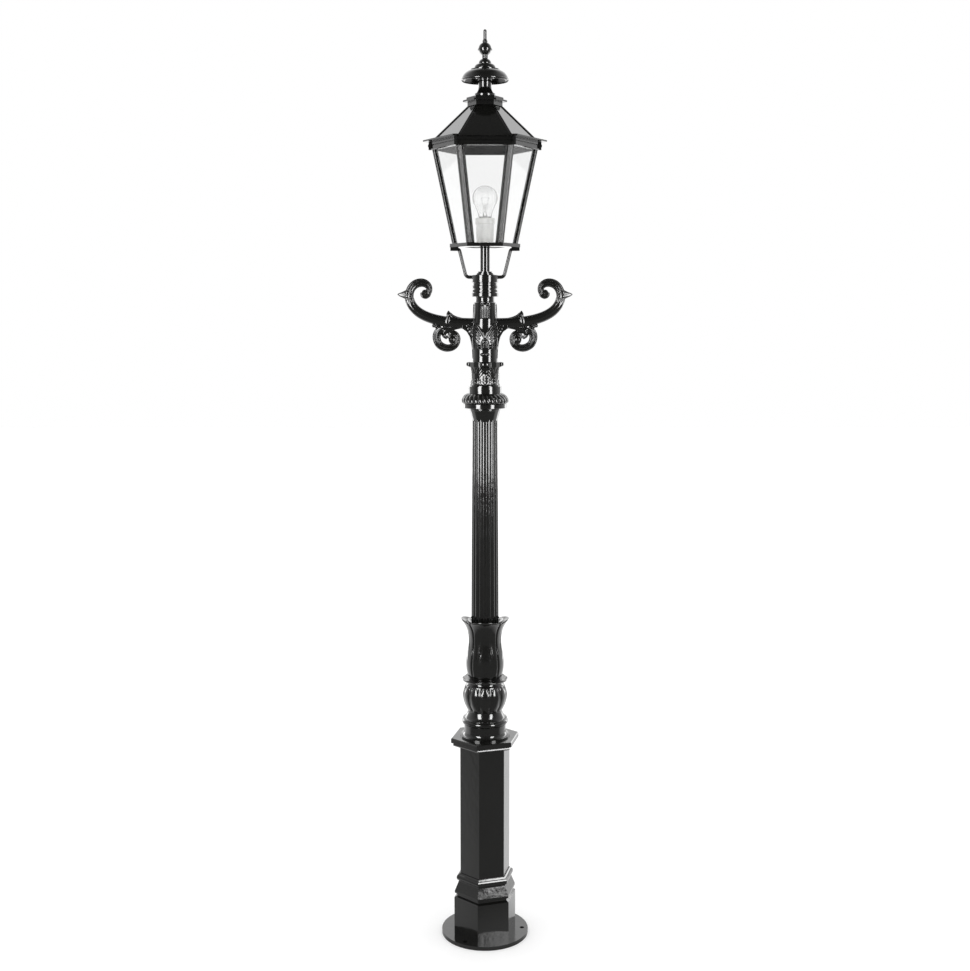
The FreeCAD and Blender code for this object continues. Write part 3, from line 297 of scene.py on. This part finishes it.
# ---- mesh helpers; all lengths are in millimetres until the mesh is made ----
def add_piece(name, vertices, faces, material, body, slot, nodes=(), crease=40.0):
    """Adds a piece that rides on a body and stands for CAD nodes; edges over crease degrees are sharp."""
    mesh = bpy.data.meshes.new(name)
    mesh.from_pydata([(x * MM, y * MM, z * MM) for x, y, z in vertices], [], faces)
    mesh.validate()
    mesh.polygons.foreach_set("use_smooth", [True] * len(mesh.polygons))
    mesh.set_sharp_from_angle(angle=math.radians(crease))
    mesh.materials.append(material)
    piece = bpy.data.objects.new(name, mesh)
    bpy.context.scene.collection.objects.link(piece)
    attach(piece, body)
    if nodes:
        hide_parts(*nodes)
    return piece


def smooth_line(points, steps):
    """Points of a Catmull-Rom curve through the given points."""
    line = []
    padded = [points[0]] + list(points) + [points[-1]]
    for index in range(1, len(padded) - 2):
        before, start, end, after = [Vector(point) for point in padded[index - 1:index + 3]]
        for step in range(steps):
            t = step / steps
            value = start * 2 + (end - before) * t
            value += (before * 2 - start * 5 + end * 4 - after) * t ** 2
            value += (start * 3 - before - end * 3 + after) * t ** 3
            line.append(tuple(value / 2))
    line.append(tuple(points[-1]))
    return line


def ring_faces(rows, count, closed):
    """Quads between successive rings of count points; closed joins the last ring to the first."""
    faces = []
    last = rows if closed else rows - 1
    for row in range(last):
        here = row * count
        above = (row + 1) % rows * count
        for k in range(count):
            following = (k + 1) % count
            faces.append((here + k, here + following, above + following, above + k))
    return faces


def turned_mesh(outer, inner_radius, segments, relief=None):
    """Ring shaped mesh: outer profile (radius, z) from bottom to top, round an inner bore.

    relief(angle, share, radius, z) gives the moved (radius, z) of a point of the outer profile.
    """
    rows = [(inner_radius, outer[0][1], None)]
    rows += [(radius, z, index / (len(outer) - 1)) for index, (radius, z) in enumerate(outer)]
    rows += [(inner_radius, outer[-1][1], None)]
    vertices = []
    for radius, z, share in rows:
        for k in range(segments):
            angle = 2 * math.pi * k / segments
            r, height = radius, z
            if relief is not None and share is not None:
                r, height = relief(angle, share, radius, z)
            vertices.append((r * math.cos(angle), r * math.sin(angle), height))
    return vertices, ring_faces(len(rows), segments, True)


def lobe_phase(angle, count, first=0.0):
    """Place across a repeated lobe, from -1 to 1, with 0 at its middle."""
    turns = (angle - first) / (2 * math.pi) * count
    return 2 * (turns - math.floor(turns + 0.5))


def bulge(u, half_width):
    """Height of a half round lobe over u, from 1 at its middle to 0 at its edge."""
    if half_width <= 0 or abs(u) >= half_width:
        return 0.0
    return math.sqrt(1 - (u / half_width) ** 2)


def sweep_mesh(path, radii, depth=1.0, ridges=0, ridge_height=None, around=40):
    """Closed tube along (x, z) points; ridges run along it where ridge_height(share) is not zero."""
    vertices = []
    count = len(path)
    for index, (x, z) in enumerate(path):
        before = path[max(index - 1, 0)]
        after = path[min(index + 1, count - 1)]
        slope = math.atan2(after[1] - before[1], after[0] - before[0])
        share = index / (count - 1)
        raised = ridge_height(share) if ridge_height else 0.0
        for k in range(around):
            phi = 2 * math.pi * k / around
            r = radii[index] * (1 - raised * (1 - abs(math.cos(ridges * phi / 2))))
            across = r * math.cos(phi)
            vertices.append((x - across * math.sin(slope),
                             r * depth * math.sin(phi),
                             z + across * math.cos(slope)))
    faces = ring_faces(count, around, False)
    faces.append(tuple(range(around - 1, -1, -1)))
    faces.append(tuple(range((count - 1) * around, count * around)))
    return vertices, faces


def ball_mesh(centre, radii, rings=16, around=24):
    vertices = [(centre[0], centre[1], centre[2] - radii[2])]
    for ring in range(1, rings):
        tilt = math.pi * ring / rings - math.pi / 2
        for k in range(around):
            angle = 2 * math.pi * k / around
            vertices.append((centre[0] + radii[0] * math.cos(tilt) * math.cos(angle),
                             centre[1] + radii[1] * math.cos(tilt) * math.sin(angle),
                             centre[2] + radii[2] * math.sin(tilt)))
    vertices.append((centre[0], centre[1], centre[2] + radii[2]))
    top = len(vertices) - 1
    faces = [(0, 1 + (k + 1) % around, 1 + k) for k in range(around)]
    for ring in range(rings - 2):
        here = 1 + ring * around
        for k in range(around):
            following = (k + 1) % around
            faces.append((here + k, here + following, here + around + following, here + around + k))
    here = 1 + (rings - 2) * around
    faces += [(here + k, here + (k + 1) % around, top) for k in range(around)]
    return vertices, faces


def prism_mesh(corners, low_y, high_y):
    """Closed prism over a polygon of (x, z) corners, between two places in Y."""
    count = len(corners)
    vertices = [(x, low_y, z) for x, z in corners] + [(x, high_y, z) for x, z in corners]
    faces = [tuple(range(count)), tuple(range(2 * count - 1, count - 1, -1))]
    for k in range(count):
        following = (k + 1) % count
        faces.append((k, k + count, following + count, following))
    return vertices, faces


def shifted(part, dx=0.0, dy=0.0, dz=0.0, flip_x=False, flip_y=False):
    vertices, faces = part
    sx = -1 if flip_x else 1
    sy = -1 if flip_y else 1
    moved = [(sx * x + dx, sy * y + dy, z + dz) for x, y, z in vertices]
    if sx * sy < 0:
        faces = [tuple(reversed(face)) for face in faces]
    return moved, faces


def joined(parts):
    vertices, faces = [], []
    for part_vertices, part_faces in parts:
        start = len(vertices)
        vertices += part_vertices
        faces += [tuple(start + corner for corner in face) for face in part_faces]
    return vertices, faces


def cast_as_one(parts, voxel, smoothing):
    """One closed skin round overlapping closed parts, softened as a casting is."""
    vertices, faces = joined(parts)
    mesh = bpy.data.meshes.new("casting_blank")
    mesh.from_pydata(vertices, [], faces)
    blank = bpy.data.objects.new("casting_blank", mesh)
    bpy.context.scene.collection.objects.link(blank)
    remesh = blank.modifiers.new("skin", "REMESH")
    remesh.mode = "VOXEL"
    remesh.voxel_size = voxel
    soften = blank.modifiers.new("soften", "SMOOTH")
    soften.factor = 0.5
    soften.iterations = smoothing
    depsgraph = bpy.context.evaluated_depsgraph_get()
    skin = bpy.data.meshes.new_from_object(blank.evaluated_get(depsgraph))
    corners = [tuple(vertex.co) for vertex in skin.vertices]
    faces = [tuple(face.vertices) for face in skin.polygons]
    bpy.data.objects.remove(blank)
    bpy.data.meshes.remove(mesh)
    bpy.data.meshes.remove(skin)
    return corners, faces


# ---- post pieces ----
UPPER_BORE = 24.0        # inner radius of the column and of the castings above its neck
LOWER_BORE = 36.0        # inner radius of the castings below the column


def make_column():
    """Tapering column with round bottomed flutes between narrow flat edges."""
    flutes = 18
    flute_depth = 2.5
    flute_share = 0.86       # of the distance from flute to flute
    taper = 4.1
    low, high = low_z("fluted_column"), high_z("fluted_column")
    foot = outer_radius("fluted_column")
    top = foot - taper

    def relief(angle, share, radius, z):
        return radius - flute_depth * bulge(lobe_phase(angle, flutes), flute_share), z

    rows = 24
    outer = [(foot + (top - foot) * k / rows, low + (high - low) * k / rows) for k in range(rows + 1)]
    vertices, faces = turned_mesh(outer, UPPER_BORE, flutes * 20, relief)
    add_piece("column_shaft", vertices, faces, cast_black, "post", "black_paint", ["fluted_column"])


def make_neck():
    """Cone that dies into the flutes, so that its lower edge is scalloped."""
    bore = 26.0
    high = high_z("column_neck")
    radius = outer_radius("column_neck")
    cone = [(28.2, high - 34.0), (30.4, high - 29.5), (33.4, high - 19.0), (36.8, high - 6.6)]
    outer = smooth_line(cone, 4)
    outer += [(radius - 1.2, high - 6.2), (radius - 0.3, high - 5.6), (radius, high - 4.6)]
    outer += [(radius, high - 1), (radius - 0.6, high)]
    vertices, faces = turned_mesh(outer, bore, 144)
    add_piece("column_neck_cone", vertices, faces, cast_black, "post", "black_paint", ["column_neck"])


def make_gadroon_ring():
    """Plain band under a cushion of slanting lobes."""
    lobes = 26
    groove_depth = 3.0
    slant = 0.16             # turn of a lobe from foot to top, in radians
    low, high = low_z("gadroon_ring"), high_z("gadroon_ring")
    widest = outer_radius("gadroon_ring")
    band_top = low + 11.2
    band = widest - 5.4      # radius of the plain band
    profile = [(band, band_top), (widest - 1.0, band_top + 2.6), (widest, band_top + 6.5)]
    profile += [(widest - 1.6, band_top + 12.5), (widest - 6.5, band_top + 19.0), (42.5, high - 0.3)]
    outer = [(band - 1.0, low), (band, low + 0.9), (band, band_top - 0.8), (band - 1.2, band_top)]
    outer += smooth_line(profile, 8)

    def relief(angle, share, radius, z):
        up = (z - band_top) / (high - band_top)
        if up <= 0.01:
            return radius, z
        fade = min(1.0, up * 8) * min(1.0, (1.04 - up) * 5)
        across = lobe_phase(angle + slant * up, lobes)
        return radius - groove_depth * fade * (1 - bulge(across, 1.0)), z

    vertices, faces = turned_mesh(outer, UPPER_BORE, lobes * 14, relief)
    add_piece("gadroon_cushion", vertices, faces, cast_black, "post", "black_paint", ["gadroon_ring"])


def leaf_height(u, v, lobes):
    """Raised height, 0 to 1, of a leaf with a midrib, veins and a lobed edge; v runs from foot to tip."""
    if v <= 0 or v >= 1:
        return 0.0
    half = 0.96 * (math.sin(math.pi * min(1.0, 0.18 + 0.82 * v) ** 0.9)) ** 0.55
    half *= 1 - 0.16 * abs(math.sin(math.pi * lobes * v))
    rise = bulge(u, half)
    veins = 0.72 + 0.28 * abs(math.cos(math.pi * (lobes * v - 2.2 * abs(u))))
    midrib = 0.35 * math.exp(-(u / 0.1) ** 2)
    return rise ** 0.6 * veins + midrib * min(1.0, rise * 3)


def make_leaf_capital():
    """Bell with two rows of leaves under a wavy lip that rolls out in four knobs."""
    low, high = low_z("leaf_capital"), high_z("leaf_capital")
    height = high - low
    lip = outer_radius("leaf_capital")
    rim = 38.5               # radius of the lip between its knobs
    lower_leaf, upper_leaf = 1.7, 1.3
    profile = [(34.6, low + 2), (33.2, low + 6), (33.0, low + 18), (33.8, low + 34), (35.6, low + 45)]
    outer = [(36.4, low), (36.9, low + 0.8)] + smooth_line(profile, 9)
    rolled = [(36.8, high - 8.4), (lip - 4.6, high - 6.2), (lip - 1.0, high - 4.6), (lip, high - 0.9)]
    rolled += [(lip - 1.0, high + 2.8), (lip - 4.5, high + 4.3)]
    outer += smooth_line(rolled, 6)

    def relief(angle, share, radius, z):
        up = (z - low) / height
        if up < 0.03:
            return radius, z
        lower = leaf_height(lobe_phase(angle, 8, FRONT), (up - 0.02) / 0.56, 4)
        upper = leaf_height(lobe_phase(angle, 8, FRONT + math.pi / 8), (up - 0.26) / 0.62, 4)
        if up < 0.85:
            return radius + max(lower_leaf * lower, upper_leaf * upper), z
        knob = bulge(lobe_phase(angle, 4, FRONT), 0.4)
        edge = 0.7 * abs(math.sin(8 * (angle - FRONT)))
        if radius > rim:
            radius = rim - edge * (1 - knob) + (radius - rim) * knob
        return radius, z

    vertices, faces = turned_mesh(outer, UPPER_BORE, 320, relief)
    add_piece("capital_leaves", vertices, faces, cast_black, "post", "black_paint", ["leaf_capital"], 55.0)


def make_gadroon_bulb():
    """Squat bulb with pointed lobes, darts between them, and a flared foot."""
    lobes = 12
    groove_depth = 3.6
    low, high = low_z("gadroon_bulb"), high_z("gadroon_bulb")
    widest = outer_radius("gadroon_bulb")
    neck_low = low + 21.0
    flare = [(55.0, low), (55.0, low + 1.6), (51.2, low + 3.6), (47.4, low + 8.0)]
    flare += [(44.4, low + 14.0), (42.8, low + 20.0)]
    body = [(42.6, neck_low), (47.0, low + 29), (52.2, low + 42), (widest, low + 58)]
    body += [(54.3, low + 71), (50.0, low + 83), (44.5, low + 91), (43.0, high)]
    outer = smooth_line(flare, 5) + smooth_line(body, 9)

    def relief(angle, share, radius, z):
        up = (z - neck_low) / (high - 8 - neck_low)
        if up <= 0 or up >= 1:
            return radius, z
        width = 0.97 * min(1.0, 4.5 * (1 - up)) ** 0.6
        lobe = bulge(lobe_phase(angle, lobes, FRONT), width)
        dart = 0.55 * bulge(lobe_phase(angle, lobes, FRONT + math.pi / lobes), 0.3) * min(1.0, up * 3)
        fade = min(1.0, up * 9, (1 - up) * 8)
        return radius - groove_depth * fade * (1 - max(lobe, dart)), z

    vertices, faces = turned_mesh(outer, LOWER_BORE, lobes * 28, relief)
    add_piece("bulb_lobes", vertices, faces, cast_black, "post", "black_paint", ["gadroon_bulb"], 50.0)


def make_tulip_ring():
    """Collar under the leaves whose rim turns up in slow waves."""
    waves = 8
    wave_height = 1.3
    low, high = low_z("tulip_ring"), high_z("tulip_ring")
    reach = outer_radius("tulip_ring")
    rim = [(44.0, low), (50.0, low + 0.4), (54.4, low + 2.2), (reach, low + 5.2), (reach - 0.4, high - 0.6)]
    rim += [(reach - 2.6, high + 0.6), (51.5, high + 0.2), (47.5, high - 0.4), (42.0, high)]

    def relief(angle, share, radius, z):
        lift = max(0.0, (radius - 49.0) / (reach - 49.0)) * max(0.0, (z - low) / (high - low))
        return radius, z + wave_height * lift * math.cos(waves * (angle - FRONT))

    vertices, faces = turned_mesh(smooth_line(rim, 5), LOWER_BORE, 192, relief)
    add_piece("tulip_collar", vertices, faces, cast_black, "post", "black_paint", ["tulip_ring"], 50.0)


def make_tulip_sleeve():
    """Four broad leaves round the column's foot, grown together below and curling out at the top."""
    leaves = 4
    dip = 9.0                # how far the rim drops between the leaf tips
    bore = 35.2
    low, high = low_z("tulip_sleeve"), high_z("tulip_sleeve")
    height = high - low
    reach = outer_radius("tulip_sleeve")
    body = [(41.0, 0.0), (43.6, 0.06), (46.6, 0.17), (47.0, 0.28), (45.0, 0.40), (41.8, 0.52), (40.0, 0.62)]
    body += [(40.4, 0.70), (43.0, 0.79), (48.0, 0.87), (54.0, 0.935), (reach - 1.2, 0.97), (reach, 0.985)]
    body += [(reach - 0.8, 1.0), (reach - 6.0, 0.985), (reach - 13.0, 0.945), (37.5, 0.87), (35.4, 0.78)]
    outer = [(r, low + height * share) for r, share in smooth_line(body, 8)]
    tip_index = 12 * 8 / (len(outer) - 1)

    def relief(angle, share, radius, z):
        up = (z - low) / height
        across = lobe_phase(angle, leaves, FRONT)
        tip = max(0.0, math.cos(across * math.pi / 2)) ** 0.7
        inside = share > tip_index
        if inside:
            drop = (1 - tip) * dip * max(0.0, (up - 0.74) / 0.26)
            spread = (radius - 36.0) * 0.34 * (1 - tip)
            return radius - spread, z - drop
        crease = math.exp(-((1 - abs(across)) / 0.06) ** 2)
        arch = math.exp(-((abs(across) - 0.62 * (1 - up) - 0.1) / 0.05) ** 2)
        arch *= math.sin(math.pi * min(1, max(0, (up - 0.3) / 0.55)))
        curl = max(0.0, (up - 0.66) / 0.34)
        moved = radius - 2.6 * crease * min(1.0, up * 8) + 1.4 * arch
        moved -= (radius - 38.5) * 0.34 * (1 - tip) * min(1.0, curl * 2.4)
        return moved, z - (1 - tip) * dip * curl ** 1.4

    vertices, faces = turned_mesh(outer, bore, leaves * 72, relief)
    add_piece("tulip_leaves", vertices, faces, cast_black, "post", "black_paint", ["tulip_sleeve"], 55.0)


# ---- hub and scroll arms; heights are above the underside of the hub ----
HUB_Z = low_z("arm_hub")
ARM_HEIGHT = 97.0
UPPER_EYE = (146.0, 171.0)
UPPER_BAND = (         # angle round the eye, distance from it and half thickness
    (-20, 39.0, 10.8), (10, 34.4, 10.6), (40, 30.0, 10.6), (65, 26.0, 10.4), (90, 22.6, 9.8),
    (120, 18.2, 8.6), (150, 13.8, 7.4), (180, 10.6, 6.6), (215, 10.0, 6.5), (250, 9.6, 6.2),
    (285, 8.6, 5.6), (320, 7.2, 5.0), (350, 5.5, 4.4),
)
LOWER_BAND = (         # x, height and half thickness
    (103.0, 85.0, 9.8), (113.5, 76.5, 10.0), (117.3, 63.5, 10.0), (111.5, 47.2, 9.7), (96.0, 38.4, 9.3),
    (79.5, 40.0, 8.6), (69.0, 49.0, 7.6), (66.0, 61.5, 6.8), (69.5, 70.5, 6.4), (76.5, 74.5, 6.4),
    (83.5, 71.5, 6.0), (86.0, 64.5, 5.2), (83.0, 60.0, 4.6),
)
LOWER_EYE = (79.0, 57.5)


def bow(start, knee, end, steps):
    """Points of a quadratic bow without its last point."""
    points = []
    for step in range(steps):
        t = step / steps
        weights = ((1 - t) ** 2, 2 * t * (1 - t), t ** 2)
        points.append(tuple(weights[0] * start[k] + weights[1] * knee[k] + weights[2] * end[k]
                            for k in range(2)))
    return points


def tapered(count, first, last):
    return [first + (last - first) * k / (count - 1) for k in range(count)]


def ridged_tube(places, depth, ridges=0, ridge_height=None):
    """Closed tube through places given as (x, height, half thickness)."""
    path = [place[:2] for place in places]
    radii = [place[2] for place in places]
    return sweep_mesh(path, radii, depth, ridges, ridge_height, 56)


def even_ridges(share):
    return 0.26


def arm_parts():
    """Closed parts of the right arm."""
    band = smooth_line(UPPER_BAND, 7)
    upper = [(UPPER_EYE[0] + reach * math.cos(math.radians(angle)),
              UPPER_EYE[1] + reach * math.sin(math.radians(angle))) for angle, reach, _ in band]
    main = bow((30.0, ARM_HEIGHT), (172.0, ARM_HEIGHT + 1.5), upper[0], 60) + upper
    grown = tapered(60, 13.4, 11.4) + [half for _, _, half in band]

    def upper_ridges(share):
        return 0.34 * min(1.0, max(0.0, (share - 0.36) * 9))

    def lower_ridges(share):
        return 0.3 * min(1.0, share * 6)

    lower = smooth_line(LOWER_BAND, 8)
    parts = [sweep_mesh(main, grown, 0.9, 8, upper_ridges, 64)]
    parts.append(ridged_tube(lower, 0.95, 8, lower_ridges))
    parts.append(ball_mesh((UPPER_EYE[0] - 1, 0, UPPER_EYE[1] - 1), (8.6, 9.6, 8.6)))
    parts.append(ball_mesh((UPPER_EYE[0] - 1, 0, UPPER_EYE[1] - 1), (4.2, 12.4, 4.2)))
    parts.append(ball_mesh((LOWER_EYE[0], 0, LOWER_EYE[1]), (10.0, 9.0, 10.0)))
    parts.append(ball_mesh((LOWER_EYE[0], 0, LOWER_EYE[1]), (3.8, 11.6, 3.8)))
    tip = smooth_line([(176.0, 166.0, 12.0), (187.0, 166.0, 12.6), (194.0, 166.0, 9.6), (201.0, 166.0, 6.4),
                       (207.0, 166.4, 3.9), (211.2, 167.0, 1.1)], 6)
    leaf = smooth_line([(34.0, 99.0, 8.0), (52.0, 101.5, 9.0), (70.0, 104.5, 9.8), (82.0, 111.0, 9.2),
                        (87.4, 120.0, 6.8), (88.4, 128.0, 0.9)], 6)
    parts.append(ridged_tube(tip, 0.8, 6, even_ridges))
    parts.append(ridged_tube(leaf, 0.9, 7, even_ridges))
    wrap = smooth_line([(88.0, 113.0, 4.6), (90.0, 105.0, 5.6), (91.0, 98.0, 5.0), (90.0, 92.0, 3.0)], 6)
    for side in (-1, 1):
        parts.append(shifted(ridged_tube(wrap, 0.6), dy=side * 9.4))
    parts.append(ball_mesh((118.0, 0, 90.5), (5.6, 8.5, 5.2)))
    parts.append(ball_mesh((124.5, 0, 91.5), (4.4, 7.5, 4.4)))
    roll = smooth_line([(56.0, 88.0, 3.6), (68.0, 87.0, 4.8), (82.0, 84.5, 6.6), (96.0, 77.5, 7.6),
                        (99.0, 68.5, 5.6), (91.0, 62.0, 4.4)], 6)
    parts.append(ball_mesh((98.0, 0, 83.0), (9.0, 8.0, 6.0)))
    parts.append(ridged_tube(roll, 1.15, 5, even_ridges))
    return parts


def make_arms():
    parts = [shifted(part, dz=HUB_Z) for part in arm_parts()]
    right = cast_as_one(parts, 0.8, 2)
    add_piece("right_arm_casting", *right, cast_black, "post", "black_paint", ["right_scroll_arm"], 70.0)
    left = shifted(right, flip_x=True)
    add_piece("left_arm_casting", *left, cast_black, "post", "black_paint", ["left_scroll_arm"], 70.0)


def hub_parts():
    """Closed parts of the hub: core, arm roots, brackets and the raised ornaments."""
    core = [(33.6, 0.4), (33.2, 3.5), (31.6, 6.0), (31.2, 20.0), (31.6, 48.0), (31.2, 68.0), (29.4, 100.0)]
    core += [(28.0, 125.0), (27.0, 147.6)]
    vertices, faces = turned_mesh(smooth_line(core, 4), 22.0, 96)
    parts = [(vertices, faces)]
    root = bow((4.0, ARM_HEIGHT - 1), (36.0, ARM_HEIGHT), (52.0, ARM_HEIGHT), 12)
    bracket = [(12.0, 10.0), (30.6, 14.0), (31.6, 36.0), (34.0, 52.0), (37.6, 66.0), (44.0, 77.0)]
    bracket += [(52.0, 83.0), (56.0, 85.5), (54.0, 97.0), (12.0, 101.0)]
    pilaster = [(12.0, 100.0), (30.0, 104.0), (29.2, 120.0), (28.6, 142.0), (26.6, 145.5), (12.0, 145.5)]
    for flip in (False, True):
        parts.append(shifted(sweep_mesh(root, tapered(len(root), 15.0, 11.6), 0.95), flip_x=flip))
        parts.append(shifted(prism_mesh(bracket, -11.0, 11.0), flip_x=flip))
        parts.append(shifted(prism_mesh(pilaster, -6.0, 6.0), flip_x=flip))
    return parts


def stroke(points):
    """Chain of overlapping beads (x, height, radius) laid on the front of the hub and its arms."""
    hub_radius, arm_radius = 31.0, 11.0
    beads = []
    for x, height, radius in smooth_line(points, 6):
        depth = math.sqrt(max(hub_radius ** 2 - x ** 2, arm_radius ** 2))
        beads.append(ball_mesh((x, -depth, height), (radius, radius * 0.9, radius), 8, 12))
    return beads


def hub_ornaments():
    """Front ornaments of the hub, to be repeated on the back."""
    parts = []
    for side in (-1, 1):
        for k in range(4):
            parts += stroke([(side * (46.0 - 3.0 * k), 98.0 - 7.0 * k, 1.4),
                             (side * (31.0 - k), 90.0 - 8.0 * k, 2.6),
                             (side * 20.0, 80.0 - 8.0 * k, 2.8),
                             (side * (11.5 + k), 68.0 - 8.0 * k, 1.6)])
        parts += stroke([(side * 2.5, 64.0, 1.8), (side * 8.0, 76.0, 2.6),
                         (side * 17.0, 90.0, 2.8), (side * 28.0, 101.0, 1.8)])
    for k in range(-2, 3):
        reed = smooth_line([(k * 4.2, 110.0), (k * 4.4, 118.0), (k * 4.4, 130.0), (k * 3.2, 143.0)], 5)
        depth_y = -29.4 + 0.9 * abs(k)
        parts.append(shifted(sweep_mesh(reed, tapered(len(reed), 2.5, 2.2), 0.95, around=16), dy=depth_y))
    for side in (-1, 1):
        parts.append(ball_mesh((side * 6.4, -29.2, 143.0), (4.4, 3.6, 4.0)))
        arch = smooth_line([(side * 8.6, 36.0), (side * 8.0, 47.0), (side * 5.4, 56.0), (0.0, 62.5)], 6)
        parts.append(shifted(sweep_mesh(arch, tapered(len(arch), 1.9, 1.6), around=16), dy=-31.6))
        parts.append(ball_mesh((side * 6.2, -30.6, 23.0), (3.4, 2.6, 3.4)))
        parts.append(ball_mesh((side * 14.4, -27.8, 42.0), (4.6, 4.2, 4.6)))
        parts.append(ball_mesh((side * 14.4, -31.2, 42.0), (1.6, 1.6, 1.6)))
        inner = smooth_line([(side * 5.2, 39.0), (side * 4.8, 46.0), (side * 3.0, 52.0), (0.0, 56.5)], 6)
        parts.append(shifted(sweep_mesh(inner, tapered(len(inner), 1.2, 1.0), around=12), dy=-32.2))
    return parts


def make_hub():
    front = hub_ornaments()
    back = [shifted(part, flip_y=True) for part in front]
    parts = [shifted(part, dz=HUB_Z) for part in hub_parts() + front + back]
    casting = cast_as_one(parts, 0.9, 3)
    add_piece("hub_casting", *casting, cast_black, "post", "black_paint", ["arm_hub"], 70.0)


# ---- lantern pieces ----
def make_post_reeds():
    """Fine reeds along both faces of each corner post."""
    reed_radius = 1.05
    lean = 46.4              # a post's top stands this much further out than its foot
    low, high = low_z("corner_posts"), high_z("corner_posts")
    top_radius = outer_radius("corner_posts")
    foot_radius = top_radius - lean
    vertices, faces = [], []
    around = 10
    for corner in range(6):
        spoke = Vector((math.cos(math.radians(60 * corner)), math.sin(math.radians(60 * corner)), 0))
        for side in (-1, 1):
            heading = math.radians(60 * corner + side * 120)
            along_face = Vector((math.cos(heading), math.sin(heading), 0))
            for offset in (1.3, 3.4, 5.5, 7.6):
                start = len(vertices)
                for radius, z in ((foot_radius, low), (top_radius, high)):
                    centre = spoke * radius + along_face * offset
                    for k in range(around):
                        phi = 2 * math.pi * k / around
                        out = spoke * (reed_radius * math.cos(phi))
                        out += along_face * (reed_radius * math.sin(phi))
                        vertices.append((centre.x + out.x, centre.y + out.y, z))
                for k in range(around):
                    following = (k + 1) % around
                    above = start + around
                    faces.append((start + k, start + following, above + following, above + k))
                faces.append(tuple(start + k for k in range(around - 1, -1, -1)))
                faces.append(tuple(start + around + k for k in range(around)))
    add_piece("corner_post_reeds", vertices, faces, sheet_black, "lantern", "black_paint")


# ---- studio ----
def make_stage():
    """Wide flat floor under the post."""
    size = 14.0
    mesh = bpy.data.meshes.new("studio_ground")
    corners = [(-size, -size, 0), (size, -size, 0), (size, size, 0), (-size, size, 0)]
    mesh.from_pydata(corners, [], [(0, 1, 2, 3)])
    mesh.materials.append(studio_floor())
    ground = bpy.data.objects.new("studio_ground", mesh)
    bpy.context.scene.collection.objects.link(ground)


def make_world():
    """White studio; the gloss paint mirrors it darker towards the front and overhead."""
    world = bpy.data.worlds.new("studio")
    bpy.context.scene.world = world
    world.use_nodes = True
    tree = world.node_tree
    background = tree.nodes["Background"]
    where = tree.nodes.new("ShaderNodeTexCoord")
    split = tree.nodes.new("ShaderNodeSeparateXYZ")
    tree.links.new(where.outputs["Generated"], split.inputs[0])
    level = remap(tree, split.outputs["Y"], low=0.1, high=1.35, from_low=-0.55, from_high=0.75)
    ceiling = remap(tree, split.outputs["Z"], low=1.0, high=0.16, from_low=0.7, from_high=0.93)
    mirrored = tree.nodes.new("ShaderNodeMath")
    mirrored.operation = "MULTIPLY"
    tree.links.new(level, mirrored.inputs[0])
    tree.links.new(ceiling, mirrored.inputs[1])
    rays = tree.nodes.new("ShaderNodeLightPath")
    lit = tree.nodes.new("ShaderNodeMix")
    lit.inputs[2].default_value = 1.0
    lit.inputs[3].default_value = 1.12
    tree.links.new(rays.outputs["Is Diffuse Ray"], lit.inputs[0])
    mix = tree.nodes.new("ShaderNodeMix")
    tree.links.new(mirror_rays(tree), mix.inputs[0])
    tree.links.new(lit.outputs[0], mix.inputs[2])
    tree.links.new(mirrored.outputs[0], mix.inputs[3])
    tree.links.new(mix.outputs[0], background.inputs["Strength"])
    background.inputs["Color"].default_value = (1, 1, 1, 1)


def add_softbox(name, azimuth, distance, height, width, tall, radiance):
    """Upright softbox in metres; azimuth in degrees is counted from the front, to the right."""
    light = bpy.data.lights.new(name, "AREA")
    light.shape = "RECTANGLE"
    light.size = width
    light.size_y = tall
    light.energy = radiance * math.pi * width * tall
    lamp = bpy.data.objects.new(name, light)
    angle = math.radians(azimuth)
    lamp.location = (distance * math.sin(angle), -distance * math.cos(angle), height)
    aim = Vector((0, 0, height)) - lamp.location
    lamp.rotation_euler = aim.to_track_quat("-Z", "Y").to_euler()
    lamp.visible_camera = False
    lamp.visible_transmission = False
    lamp.visible_diffuse = False
    bpy.context.scene.collection.objects.link(lamp)


def make_lights():
    add_softbox("left_softbox", -36.6, 2.6, 1.875, 0.96, 2.05, 17.0)
    add_softbox("right_softbox", 41.0, 2.6, 1.875, 0.76, 2.05, 16.0)
    add_softbox("back_left_softbox", -145.0, 2.6, 1.4, 0.7, 2.4, 3.0)
    add_softbox("back_right_softbox", 140.0, 2.6, 1.4, 0.7, 2.4, 3.0)


def make_camera():
    """Camera in front of the post, above its middle and tilted down a little."""
    tilt = 7.75
    data = bpy.data.cameras.new("camera")
    data.lens = 49.7
    data.sensor_width = 36.0
    camera = bpy.data.objects.new("camera", data)
    camera.location = (0, -3.268, 1.602)
    camera.rotation_euler = (math.radians(90 - tilt), 0, 0)
    bpy.context.scene.collection.objects.link(camera)
    bpy.context.scene.camera = camera


make_camera()
dress_cad_nodes()
make_column()
make_neck()
make_gadroon_ring()
make_leaf_capital()
make_gadroon_bulb()
make_tulip_ring()
make_tulip_sleeve()
make_arms()
make_hub()
make_post_reeds()
make_stage()
make_world()
make_lights()
bpy.context.scene.view_settings.view_transform = "Standard"
